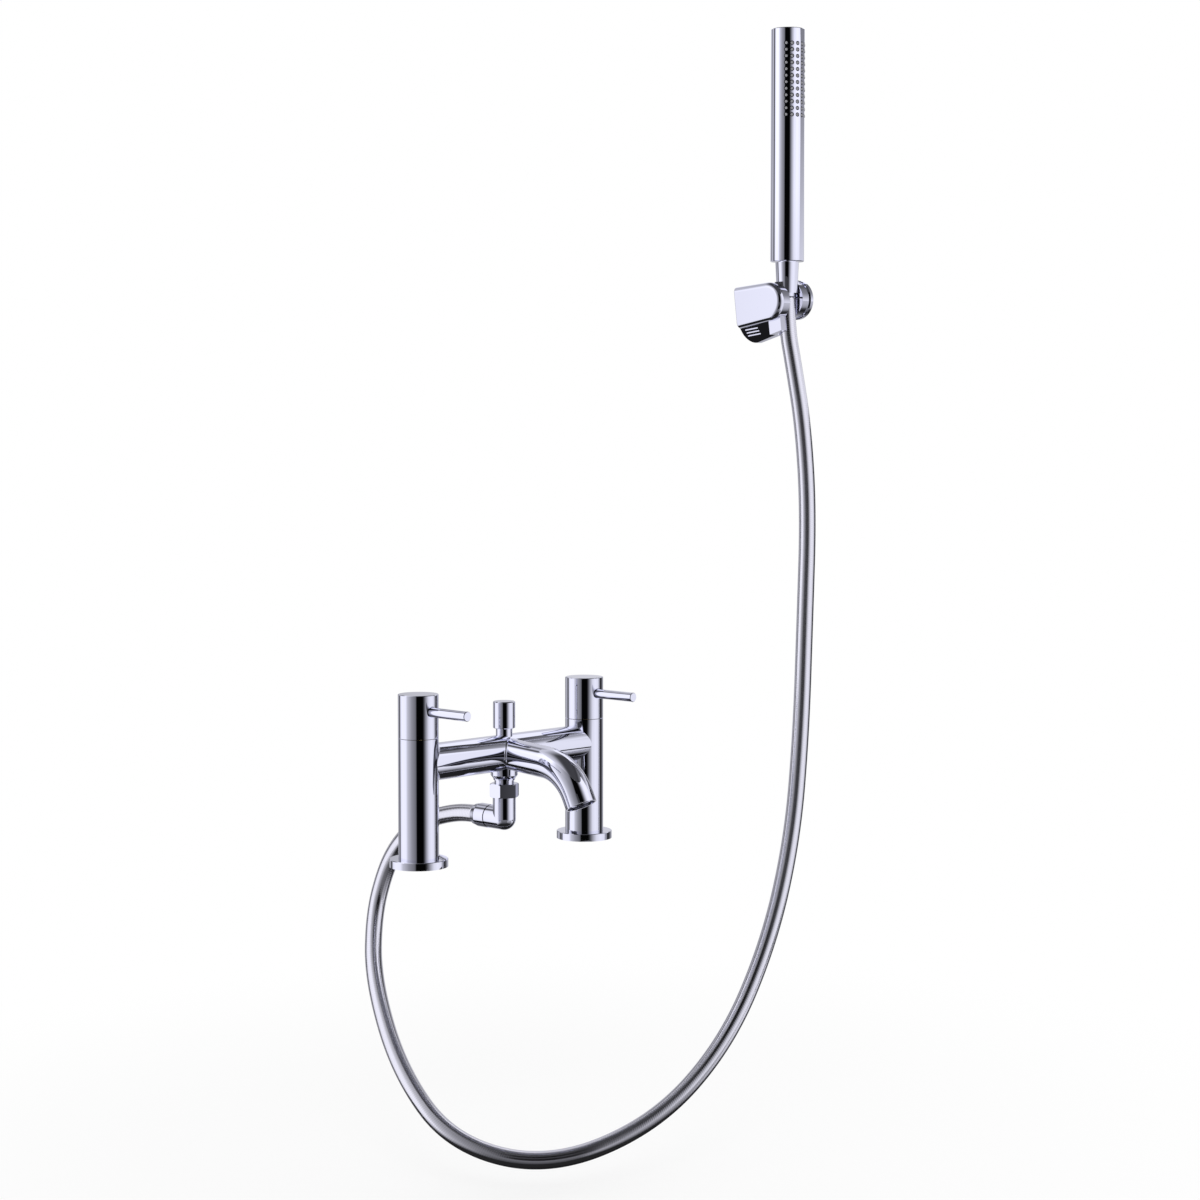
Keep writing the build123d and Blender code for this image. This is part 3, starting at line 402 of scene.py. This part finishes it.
def moulding(name, tint, roughness, variation, scale, bump, coat=0.0):
    material = bpy.data.materials.new(name)
    material.use_nodes = True
    tree = material.node_tree
    shader = tree.nodes["Principled BSDF"]
    shader.inputs["Roughness"].default_value = roughness
    shader.inputs["Coat Weight"].default_value = coat
    grain = add(tree, "ShaderNodeGroup", node_tree=bpy.data.node_groups["moulded_grain"])
    grain.inputs["Tint"].default_value = (*tint, 1.0)
    grain.inputs["Variation"].default_value = variation
    grain.inputs["Scale"].default_value = scale
    bumps = add(tree, "ShaderNodeBump")
    bumps.inputs["Strength"].default_value = bump
    bumps.inputs["Distance"].default_value = 0.0001
    wire(tree, grain, "Color", shader, "Base Color")
    wire(tree, grain, "Height", bumps, "Height")
    wire(tree, bumps, "Normal", shader, "Normal")
    return material


def hose_material(tint):
    # Silver foil wound under a clear sleeve: a faint spiral and a soft sheen.
    material = bpy.data.materials.new("silver_hose")
    material.use_nodes = True
    tree = material.node_tree
    shader = tree.nodes["Principled BSDF"]
    shader.inputs["Metallic"].default_value = 1.0
    place = add(tree, "ShaderNodeUVMap", uv_map="sleeve")
    turn = add(tree, "ShaderNodeMapping")
    turn.inputs["Rotation"].default_value = (0.0, 0.0, math.radians(12))
    spiral = add(tree, "ShaderNodeTexWave", wave_type="BANDS", bands_direction="Y", wave_profile="SIN")
    spiral.inputs["Scale"].default_value = 8.0
    spiral.inputs["Distortion"].default_value = 0.6
    spiral.inputs["Detail"].default_value = 2.0
    smears = add(tree, "ShaderNodeGroup", node_tree=bpy.data.node_groups["surface_smears"])
    smears.inputs["Tint"].default_value = (*tint, 1.0)
    smears.inputs["Clean Roughness"].default_value = 0.17
    smears.inputs["Haze"].default_value = 0.06
    smears.inputs["Scale"].default_value = 40.0
    tone = add(tree, "ShaderNodeMapRange")
    tone.inputs["To Min"].default_value = 0.94
    tone.inputs["To Max"].default_value = 1.0
    mix = add(tree, "ShaderNodeMix", data_type="RGBA", blend_type="MULTIPLY")
    mix.inputs["Factor"].default_value = 1.0
    bumps = add(tree, "ShaderNodeBump")
    bumps.inputs["Strength"].default_value = 0.15
    bumps.inputs["Distance"].default_value = 0.0001
    wire(tree, place, "UV", turn, "Vector")
    wire(tree, turn, "Vector", spiral, "Vector")
    wire(tree, spiral, "Fac", tone, "Value")
    wire(tree, smears, "Color", mix, "A")
    wire(tree, tone, "Result", mix, "B")
    wire(tree, mix, "Result", shader, "Base Color")
    wire(tree, smears, "Roughness", shader, "Roughness")
    wire(tree, spiral, "Fac", bumps, "Height")
    wire(tree, bumps, "Normal", shader, "Normal")
    return material


def make_materials(plating, hose):
    smear_group()
    grain_group()
    metal("polished_chrome", plating.tint, plating.gloss, plating.haze, 22.0, 0.0)
    duller = [PLASTIC_PLATE_SHARE * part for part in plating.tint]
    metal("plated_moulding", duller, plating.gloss + PLASTIC_PLATE_BLUR, plating.haze, 30.0, 0.0)
    metal("turned_brass", (0.80, 0.62, 0.30), 0.22, 0.12, 60.0, 0.2)
    metal("plain_steel", (0.62, 0.62, 0.64), 0.28, 0.12, 60.0, 0.2)
    moulding("black_rubber", (0.022, 0.022, 0.024), 0.62, 0.4, 500.0, 0.25)
    moulding("pale_silicone", (0.33, 0.33, 0.35), 0.45, 0.12, 500.0, 0.15)
    moulding("lapped_ceramic", (0.86, 0.86, 0.83), 0.12, 0.06, 300.0, 0.05, coat=0.3)
    moulding("white_moulding", (0.80, 0.80, 0.80), 0.4, 0.08, 400.0, 0.15)
    moulding("black_moulding", (0.03, 0.03, 0.035), 0.4, 0.15, 400.0, 0.15)
    hose_material(hose.tint)


# Mesh helpers


def finish_piece(name, mesh_maker, materials, smooth=True):
    mesh = bpy.data.meshes.new(name)
    mesh_maker.normal_update()
    mesh_maker.to_mesh(mesh)
    mesh_maker.free()
    for material in materials:
        mesh.materials.append(bpy.data.materials[material])
    if smooth:
        mesh.shade_smooth()
    piece = bpy.data.objects.new(name, mesh)
    bpy.context.scene.collection.objects.link(piece)
    return piece


def curve_points(name, route, order, resolution):
    # Points along a smooth NURBS line with these control points.
    line = bpy.data.curves.new(name, "CURVE")
    line.dimensions = "3D"
    spline = line.splines.new("NURBS")
    spline.points.add(len(route) - 1)
    for point, place in zip(spline.points, route):
        point.co = (*place, 1.0)
    spline.order_u = order
    spline.use_endpoint_u = True
    spline.resolution_u = resolution
    holder = bpy.data.objects.new(name, line)
    bpy.context.scene.collection.objects.link(holder)
    bpy.context.view_layer.update()
    drawn = bpy.data.meshes.new_from_object(holder)
    points = [vertex.co.copy() for vertex in drawn.vertices]
    bpy.data.meshes.remove(drawn)
    bpy.data.objects.remove(holder)
    bpy.data.curves.remove(line)
    return points


def even_points(points, gap):
    # The same line with points a steady distance apart.
    lengths = [0.0]
    for before, after in zip(points, points[1:]):
        lengths.append(lengths[-1] + (after - before).length)
    steps = max(2, round(lengths[-1] / gap))
    spread = []
    index = 0
    for step in range(steps + 1):
        target = lengths[-1] * step / steps
        while index < len(points) - 2 and lengths[index + 1] < target:
            index += 1
        run = lengths[index + 1] - lengths[index]
        share = (target - lengths[index]) / run if run > 0 else 0.0
        spread.append(points[index].lerp(points[index + 1], min(1.0, share)))
    return spread


def sweep(maker, points, radius, sides, uv_layer=None):
    # A closed tube along the points, with rings carried without twist.
    tangent = (points[1] - points[0]).normalized()
    side = tangent.orthogonal().normalized()
    rings = []
    run = 0.0
    runs = []
    for index, point in enumerate(points):
        ahead = points[min(index + 1, len(points) - 1)] - points[max(index - 1, 0)]
        turned = ahead.normalized()
        side = (tangent.rotation_difference(turned) @ side).normalized()
        tangent = turned
        up = tangent.cross(side)
        ring = []
        for step in range(sides):
            angle = 2 * math.pi * step / sides
            ring.append(maker.verts.new(point + radius * (math.cos(angle) * side + math.sin(angle) * up)))
        rings.append(ring)
        if index:
            run += (point - points[index - 1]).length
        runs.append(run)
    around = 2 * math.pi * radius
    for index, (low, high) in enumerate(zip(rings, rings[1:])):
        for step in range(sides):
            after = (step + 1) % sides
            face = maker.faces.new((low[step], low[after], high[after], high[step]))
            if uv_layer:
                corners = ((step, index), (step + 1, index), (step + 1, index + 1), (step, index + 1))
                for loop, (column, row) in zip(face.loops, corners):
                    loop[uv_layer].uv = (column / sides, runs[row] / around)
    maker.faces.new(list(reversed(rings[0])))
    maker.faces.new(rings[-1])


def lathe(maker, outline, sides, place, slot):
    # A closed profile of (radius, height) turned about the local Z axis of place.
    rings = []
    for radius, height in outline:
        ring = []
        for step in range(sides):
            angle = 2 * math.pi * step / sides
            spot = Vector((radius * math.cos(angle), radius * math.sin(angle), height))
            ring.append(maker.verts.new(place @ spot))
        rings.append(ring)
    for low, high in zip(rings, rings[1:]):
        for step in range(sides):
            after = (step + 1) % sides
            maker.faces.new((low[step], low[after], high[after], high[step])).material_index = slot
    maker.faces.new(list(reversed(rings[0]))).material_index = slot
    maker.faces.new(rings[-1]).material_index = slot


# Pieces


class MIXER_OT_finishes(bpy.types.Operator):
    """Builds the materials and gives each CAD node the one of its slot"""

    bl_idname = "mixer.finishes"
    bl_label = "Finishes"

    def execute(self, context):
        scene = context.scene
        make_materials(scene.mixer_plating, scene.mixer_hose)
        slots = {part["node"]: part["material_slot"] for part in frame["record"]["subparts"]}
        for name, node in frame["nodes"].items():
            material = bpy.data.materials[SLOT_MATERIALS[slots[name]]]
            node.data.materials.clear()
            node.data.materials.append(material)
        return {"FINISHED"}


class MIXER_OT_hose(bpy.types.Operator):
    """Hangs the shower hose from the elbow to the handset"""

    bl_idname = "mixer.hose"
    bl_label = "Shower hose"

    def execute(self, context):
        hose = context.scene.mixer_hose
        points = even_points(curve_points("hose_line", HOSE_ROUTE, 3, 24), hose.ring_gap)
        maker = bmesh.new()
        uv_layer = maker.loops.layers.uv.new("sleeve")
        sweep(maker, points, hose.diameter / 2, hose.sides, uv_layer)
        piece = finish_piece("hanging_hose", maker, ["silver_hose"])
        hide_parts("shower_hose")
        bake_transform(piece)
        return {"FINISHED"}


class MIXER_OT_nozzles(bpy.types.Operator):
    """Sets the rubber nozzles into the handset's holes, on their curved mat"""

    bl_idname = "mixer.nozzles"
    bl_label = "Spray nozzles"

    def execute(self, context):
        size = context.scene.mixer_nozzles
        maker = bmesh.new()
        low = size.top_row - (size.rows - 1) * size.pitch - size.margin
        high = size.top_row + size.margin
        half = size.columns / 2 * size.turn
        steps = MAT_STEPS
        corners = []
        for step in range(steps + 1):
            angle = -math.pi / 2 + size.aim - half + 2 * half * step / steps
            out = Vector((math.cos(angle), math.sin(angle), 0))
            corners.append(
                [
                    maker.verts.new(HANDSET_AXIS + out * radius + Vector((0, 0, level)))
                    for radius, level in (
                        (size.mat_inner, low),
                        (size.mat_outer, low),
                        (size.mat_outer, high),
                        (size.mat_inner, high),
                    )
                ]
            )
        for before, after in zip(corners, corners[1:]):
            for corner in range(4):
                beside = (corner + 1) % 4
                maker.faces.new((before[corner], after[corner], after[beside], before[beside]))
        maker.faces.new(corners[0])
        maker.faces.new(list(reversed(corners[-1])))
        foot = size.mat_outer - 0.0003
        tip = size.tip_radius
        reach = size.proud
        outline = [
            (tip * 1.15, foot),
            (tip * 1.1, foot + 0.0004),
            (tip, reach - 0.00035),
            (tip * 0.93, reach - 0.00012),
            (tip * 0.75, reach),
            (tip * 0.42, reach),
            (tip * 0.34, reach - 0.0001),
            (tip * 0.30, reach - 0.0008),
        ]
        for row in range(size.rows):
            for column in range(size.columns):
                angle = -math.pi / 2 + size.aim + (column - (size.columns - 1) / 2) * size.turn
                out = Vector((math.cos(angle), math.sin(angle), 0))
                seat = HANDSET_AXIS + Vector((0, 0, size.top_row - row * size.pitch))
                place = Matrix.Translation(seat) @ out.to_track_quat("Z", "Y").to_matrix().to_4x4()
                lathe(maker, outline, NOZZLE_SIDES, place, slot=1)
        # The mat is black rubber. Its black, seen in the gaps round the nozzles, also stands in for the
        # shade in those gaps: painted shade.
        piece = finish_piece("spray_nozzles", maker, ["black_rubber", "pale_silicone"])
        piece.data.set_sharp_from_angle(angle=math.radians(40))
        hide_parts("nozzle_mat")
        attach(piece, "handset")
        return {"FINISHED"}


class MIXER_OT_spring(bpy.types.Operator):
    """Winds the diverter's return spring under its bush"""

    bl_idname = "mixer.spring"
    bl_label = "Return spring"

    def execute(self, context):
        size = context.scene.mixer_spring
        low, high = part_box("diverter_spring")
        foot = low.z + size.wire / 2
        top = high.z - size.wire / 2
        radius = (high.x - low.x) / 2 - size.wire / 2
        steps = round(size.coils * SPRING_STEPS)
        points = []
        for step in range(steps + 1):
            share = step / steps
            angle = 2 * math.pi * size.coils * share
            height = foot + (top - foot) * share
            points.append(Vector((radius * math.cos(angle), radius * math.sin(angle), height)))
        maker = bmesh.new()
        sweep(maker, points, size.wire / 2, WIRE_SIDES)
        piece = finish_piece("return_spring", maker, ["plain_steel"])
        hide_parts("diverter_spring")
        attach(piece, "mixer")
        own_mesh(piece)
        return {"FINISHED"}


# Studio


def emission_material(name):
    material = bpy.data.materials.new(name)
    material.use_nodes = True
    tree = material.node_tree
    tree.nodes.clear()
    leave = add(tree, "ShaderNodeOutputMaterial")
    glow = add(tree, "ShaderNodeEmission")
    wire(tree, glow, "Emission", leave, "Surface")
    return tree, glow


def cool(level):
    # A grey with the faint blue cast of the photo's plate.
    return shade(level, level, BLUE_CAST * level)


def neutral(level):
    return shade(level, level, level)


def share_of(part):
    return part, part, part, 1.0


def ramp_over(tree, source, out, levels, colour):
    # A colour ramp over a value, with stops at (value, level) from the first to the last.
    low, high = levels[0][0], levels[-1][0]
    share = add(tree, "ShaderNodeMapRange")
    share.inputs["From Min"].default_value = low
    share.inputs["From Max"].default_value = high
    ramp = add(tree, "ShaderNodeValToRGB")
    elements = ramp.color_ramp.elements
    while len(elements) > 1:
        elements.remove(elements[-1])
    elements[0].position = 0.0
    elements[0].color = colour(levels[0][1])
    for at, level in levels[1:]:
        elements.new((at - low) / (high - low)).color = colour(level)
    wire(tree, source, out, share, "Value")
    wire(tree, share, "Result", ramp, "Fac")
    return ramp


# Brightness round the ring of soft boxes: degrees from the camera's side, then a level up to 255
RING_LEVELS = [
    (-180, 210),
    (-165, 195),
    (-150, 110),
    (-134, 200),
    (-118, 50),
    (-112, 110),
    (-104, 240),
    (-90, 255),
    (-70, 250),
    (-60, 200),
    (-40, 150),
    (-22, 115),
    (-18, 90),
    (-16, 5),
    (17, 5),
    (23, 45),
    (30, 105),
    (45, 190),
    (56, 230),
    (75, 245),
    (96, 235),
    (110, 160),
    (116, 60),
    (124, 25),
    (138, 90),
    (160, 180),
    (180, 210),
]
RING_STRENGTH = 1.06
BLUE_CAST = 1.03
# Share of that brightness kept at heights along the ring, in metres
RING_HEIGHTS = [
    (-0.75, 0.10),
    (-0.69, 0.12),
    (-0.60, 0.30),
    (-0.49, 0.60),
    (-0.33, 0.95),
    (0.5, 1.0),
    (0.6, 1.12),
    (1.02, 1.12),
]
# Cards just inside the ring: name, degrees from the camera's side, heights in metres with None for the
# ring's own edge, and levels at shares of the way up
CARD_GAP = 0.01
CARDS = [
    # A dark line low on the right, a shaded patch above it and a bright one beyond, for the bridge
    ("low_line", (84, 104), (-0.24, -0.165), [(0, 40), (1, 40)]),
    (
        "high_shade",
        (97, 143),
        (0.4, None),
        [
            (0, 245),
            (0.15, 225),
            (0.3, 190),
            (0.4, 165),
            (0.52, 140),
            (0.75, 125),
            (0.85, 90),
            (0.91, 60),
            (1, 60),
        ],
    ),
    ("high_glow", (146, 180), (0.45, None), [(0, 180), (0.3, 255), (1, 255)]),
    # Greyer patches over the black strip beside the camera, which the hose reflects
    ("front_high", (-17, 18), (0.17, 0.43), [(0, 60), (0.5, 75), (1, 60)]),
    ("front_low", (-34, 26), (None, -0.14), [(0, 60), (0.5, 95), (1, 120)]),
    ("right_low", (28, 82), (-0.62, -0.2), [(0, 90), (0.4, 150), (1, 175)]),
    # A dark patch low on the left for the bracket's underside
    ("left_low", (-124, -98), (None, -0.42), [(0, 25), (1, 30)]),
]
# Brightness across the ceiling from the left to the right of the view, and the least brightness
# from its far left corner towards the near right, each at places in metres
CEILING_ACROSS = [
    (-0.78, 235),
    (-0.6, 215),
    (-0.45, 190),
    (-0.33, 150),
    (-0.2, 85),
    (-0.08, 66),
    (0.3, 68),
    (0.5, 60),
    (0.6, 100),
    (0.78, 140),
]
CEILING_CORNER = [(-1.1, 215), (-0.85, 205), (-0.62, 165), (-0.46, 118), (-0.38, 85), (-0.28, 60), (1.1, 60)]
# Brightness of the floor card at shares of its radius
FLOOR_LEVELS = [(0.0, 30), (0.5, 40), (1.0, 32)]
# Middle of the set, for the floor and the lamps
SET_MIDDLE = Vector((0.08, -0.02, 0.15))
FLOOR_RADIUS = 6.0


def place_card(name, maker, studio, level):
    # Stands a card in the ring's frame, seen only in reflections: its local +Y faces the camera's side
    # and its local +X the right of the view.
    piece = finish_piece(name, maker, [name], smooth=False)
    toward = Vector((math.sin(studio.azimuth), -math.cos(studio.azimuth), 0))
    right = Vector((math.cos(studio.azimuth), math.sin(studio.azimuth), 0))
    turned = Matrix((right, toward, Vector((0, 0, 1)))).transposed()
    centre = right * studio.ring_offset + Vector((0, 0, level))
    piece.matrix_world = Matrix.Translation(centre) @ turned.to_4x4()
    piece.visible_shadow = False
    piece.visible_camera = False
    piece.visible_diffuse = False
    piece.visible_transmission = False
    piece.visible_volume_scatter = False


def arc_card(name, studio, radius, angles, heights):
    # Part of an upright ring round the set. Angles run from the camera's side to the right of the view.
    start, end = angles
    low, high = heights
    maker = bmesh.new()
    sides = max(8, round((end - start) / 2))
    columns = []
    for step in range(sides + 1):
        angle = math.radians(start + (end - start) * step / sides)
        foot = Vector((radius * math.sin(angle), radius * math.cos(angle), low))
        columns.append((maker.verts.new(foot), maker.verts.new(foot + Vector((0, 0, high - low)))))
    for before, after in zip(columns, columns[1:]):
        maker.faces.new((before[0], after[0], after[1], before[1]))
    bmesh.ops.remove_doubles(maker, verts=maker.verts, dist=0.0001)
    place_card(name, maker, studio, 0.0)


def disc_card(name, studio, level):
    # A flat round card as wide as the ring.
    maker = bmesh.new()
    bmesh.ops.create_circle(maker, cap_ends=True, segments=DISC_SIDES, radius=studio.wall_radius)
    place_card(name, maker, studio, level)


def rising_levels(name, low, high, levels):
    # Levels at shares of the way from low to high.
    tree, glow = emission_material(name)
    place = add(tree, "ShaderNodeTexCoord")
    split = add(tree, "ShaderNodeSeparateXYZ")
    wire(tree, place, "Object", split, "Vector")
    ramp = ramp_over(tree, split, "Z", [(low + at * (high - low), level) for at, level in levels], cool)
    wire(tree, ramp, "Color", glow, "Color")


def ring_levels(name):
    # Levels round the ring, faded by height.
    tree, glow = emission_material(name)
    place = add(tree, "ShaderNodeTexCoord")
    split = add(tree, "ShaderNodeSeparateXYZ")
    turn = add(tree, "ShaderNodeMath", operation="ARCTAN2")
    wire(tree, place, "Object", split, "Vector")
    wire(tree, split, "X", turn, 0)
    wire(tree, split, "Y", turn, 1)
    ramp = ramp_over(tree, turn, "Value", [(math.radians(at), level) for at, level in RING_LEVELS], cool)
    fade = ramp_over(tree, split, "Z", RING_HEIGHTS, share_of)
    both = add(tree, "ShaderNodeMix", data_type="RGBA", blend_type="MULTIPLY")
    both.inputs["Factor"].default_value = 1.0
    wire(tree, ramp, "Color", both, "A")
    wire(tree, fade, "Color", both, "B")
    wire(tree, both, "Result", glow, "Color")
    glow.inputs["Strength"].default_value = RING_STRENGTH


def ceiling_levels(name):
    # The ceiling is pale on the left and in its far corner, and dark over the rest.
    tree, glow = emission_material(name)
    place = add(tree, "ShaderNodeTexCoord")
    both = add(tree, "ShaderNodeMix", data_type="RGBA", blend_type="LIGHTEN")
    both.inputs["Factor"].default_value = 1.0
    for socket, way, levels in (("A", (1, 0, 0), CEILING_ACROSS), ("B", (1, 1, 0), CEILING_CORNER)):
        along = add(tree, "ShaderNodeVectorMath", operation="DOT_PRODUCT")
        along.inputs[1].default_value = way
        wire(tree, place, "Object", along, 0)
        ramp = ramp_over(tree, along, "Value", levels, cool)
        wire(tree, ramp, "Color", both, socket)
    wire(tree, both, "Result", glow, "Color")


def floor_levels(name, radius):
    # A ramp from the middle to the rim.
    tree, glow = emission_material(name)
    place = add(tree, "ShaderNodeTexCoord")
    reach = add(tree, "ShaderNodeVectorMath", operation="LENGTH")
    wire(tree, place, "Object", reach, "Vector")
    ramp = ramp_over(tree, reach, "Value", [(at * radius, level) for at, level in FLOOR_LEVELS], neutral)
    wire(tree, ramp, "Color", glow, "Color")


class MIXER_OT_stage(bpy.types.Operator):
    """Sets up the floor, the cards that the plate reflects, the lamps, the world and the camera"""

    bl_idname = "mixer.stage"
    bl_label = "Studio"

    def execute(self, context):
        studio = context.scene.mixer_studio
        reach = studio.wall_radius
        bottom, top = studio.wall_bottom, studio.wall_top
        self.make_floor(cad_box[0].z - studio.floor_drop)
        ring_levels("card_ring")
        arc_card("card_ring", studio, reach, (-180, 180), (bottom, top))
        for name, angles, (low, high), levels in CARDS:
            low = bottom if low is None else low
            high = top if high is None else high
            rising_levels(name, low, high, levels)
            arc_card(name, studio, reach - CARD_GAP, angles, (low, high))
        floor_levels("floor_card", reach)
        disc_card("floor_card", studio, bottom)
        ceiling_levels("ceiling_card")
        disc_card("ceiling_card", studio, top)
        self.light_world(context.scene)
        self.place_lamps()
        self.place_camera(context.scene, studio)
        return {"FINISHED"}

    def make_floor(self, level):
        material = bpy.data.materials.new("pale_floor")
        material.use_nodes = True
        tree = material.node_tree
        shader = tree.nodes["Principled BSDF"]
        shader.inputs["Base Color"].default_value = (0.94, 0.94, 0.94, 1)
        shader.inputs["Roughness"].default_value = 1.0
        shader.inputs["Specular IOR Level"].default_value = 0.0
        leave = tree.nodes["Material Output"]
        glow = add(tree, "ShaderNodeEmission")
        mixer = add(tree, "ShaderNodeMixShader")
        place = add(tree, "ShaderNodeTexCoord")
        reach = add(tree, "ShaderNodeVectorMath", operation="LENGTH")
        share = add(tree, "ShaderNodeMapRange", interpolation_type="SMOOTHSTEP")
        share.inputs["From Min"].default_value = 0.3
        share.inputs["From Max"].default_value = 0.8
        share.inputs["To Min"].default_value = 0.7
        wire(tree, place, "Object", reach, "Vector")
        wire(tree, reach, "Value", share, "Value")
        wire(tree, share, "Result", mixer, "Fac")
        wire(tree, shader, "BSDF", mixer, 1)
        wire(tree, glow, "Emission", mixer, 2)
        wire(tree, mixer, "Shader", leave, "Surface")
        maker = bmesh.new()
        bmesh.ops.create_circle(maker, cap_ends=True, segments=DISC_SIDES, radius=FLOOR_RADIUS)
        floor = finish_piece("floor", maker, ["pale_floor"], smooth=False)
        floor.location = (SET_MIDDLE.x, SET_MIDDLE.y, level)
        floor.visible_glossy = False

    def light_world(self, scene):
        world = bpy.data.worlds.new("white_studio")
        scene.world = world
        world.use_nodes = True
        tree = world.node_tree
        back = tree.nodes["Background"]
        rays = add(tree, "ShaderNodeLightPath")
        seen = add(tree, "ShaderNodeMath", operation="MAXIMUM")
        clear = add(tree, "ShaderNodeMath", operation="MAXIMUM")
        level = add(tree, "ShaderNodeMapRange")
        level.inputs["To Min"].default_value = 0.86
        level.inputs["To Max"].default_value = 1.0
        wire(tree, rays, "Is Camera Ray", seen, 0)
        wire(tree, rays, "Is Glossy Ray", seen, 1)
        wire(tree, seen, "Value", clear, 0)
        wire(tree, rays, "Is Transmission Ray", clear, 1)
        wire(tree, clear, "Value", level, "Value")
        wire(tree, level, "Result", back, "Strength")
        back.inputs["Color"].default_value = (1, 1, 1, 1)

    def place_lamps(self):
        for name, place, size, power in (
            ("key_softbox", (-0.9, -1.1, 1.3), 0.9, 5.0),
            ("fill_softbox", (1.1, -0.6, 0.7), 0.9, 2.0),
        ):
            lamp = bpy.data.lights.new(name, "AREA")
            lamp.shape = "DISK"
            lamp.size = size
            lamp.energy = power
            holder = bpy.data.objects.new(name, lamp)
            bpy.context.scene.collection.objects.link(holder)
            holder.location = place
            aim = SET_MIDDLE - Vector(place)
            holder.rotation_euler = aim.to_track_quat("-Z", "Y").to_euler()
            holder.visible_glossy = False

    def place_camera(self, scene, studio):
        data = bpy.data.cameras.new("photo_view")
        data.lens = studio.lens
        data.sensor_width = 36.0
        data.shift_y = studio.shift
        data.clip_start = 0.01
        data.clip_end = 50.0
        camera = bpy.data.objects.new("photo_view", data)
        scene.collection.objects.link(camera)
        camera.location = studio.camera_place
        back = Vector(
            (
                math.sin(studio.azimuth) * math.cos(studio.elevation),
                -math.cos(studio.azimuth) * math.cos(studio.elevation),
                math.sin(studio.elevation),
            )
        )
        camera.rotation_euler = (-back).to_track_quat("-Z", "Y").to_euler()
        scene.camera = camera
        scene.view_settings.view_transform = "Standard"


class MIXER_PT_panel(bpy.types.Panel):
    """Lists the mixer's pieces in the sidebar"""

    bl_idname = "MIXER_PT_panel"
    bl_label = "Bath shower mixer"
    bl_space_type = "VIEW_3D"
    bl_region_type = "UI"
    bl_category = "Mixer"

    def draw(self, context):
        for operator in OPERATORS:
            self.layout.operator(operator.bl_idname, text=operator.bl_label)
        for name in SETTINGS:
            box = self.layout.box()
            group = getattr(context.scene, name)
            for field in group.bl_rna.properties:
                if not field.is_readonly and field.identifier not in ("name", "rna_type"):
                    box.prop(group, field.identifier)


OPERATORS = [MIXER_OT_finishes, MIXER_OT_hose, MIXER_OT_nozzles, MIXER_OT_spring, MIXER_OT_stage]
SETTINGS = {
    "mixer_plating": PlatingSettings,
    "mixer_hose": HoseSettings,
    "mixer_nozzles": NozzleSettings,
    "mixer_spring": SpringSettings,
    "mixer_studio": StudioSettings,
}


def register():
    for name, group in SETTINGS.items():
        bpy.utils.register_class(group)
        setattr(bpy.types.Scene, name, bpy.props.PointerProperty(type=group))
    for operator in OPERATORS:
        bpy.utils.register_class(operator)
    bpy.utils.register_class(MIXER_PT_panel)


def unregister():
    bpy.utils.unregister_class(MIXER_PT_panel)
    for operator in reversed(OPERATORS):
        bpy.utils.unregister_class(operator)
    for name, group in reversed(SETTINGS.items()):
        delattr(bpy.types.Scene, name)
        bpy.utils.unregister_class(group)


def main():
    register()
    bpy.ops.mixer.finishes()
    bpy.ops.mixer.hose()
    bpy.ops.mixer.nozzles()
    bpy.ops.mixer.spring()
    bpy.ops.mixer.stage()


if __name__ == "__main__":
    main()
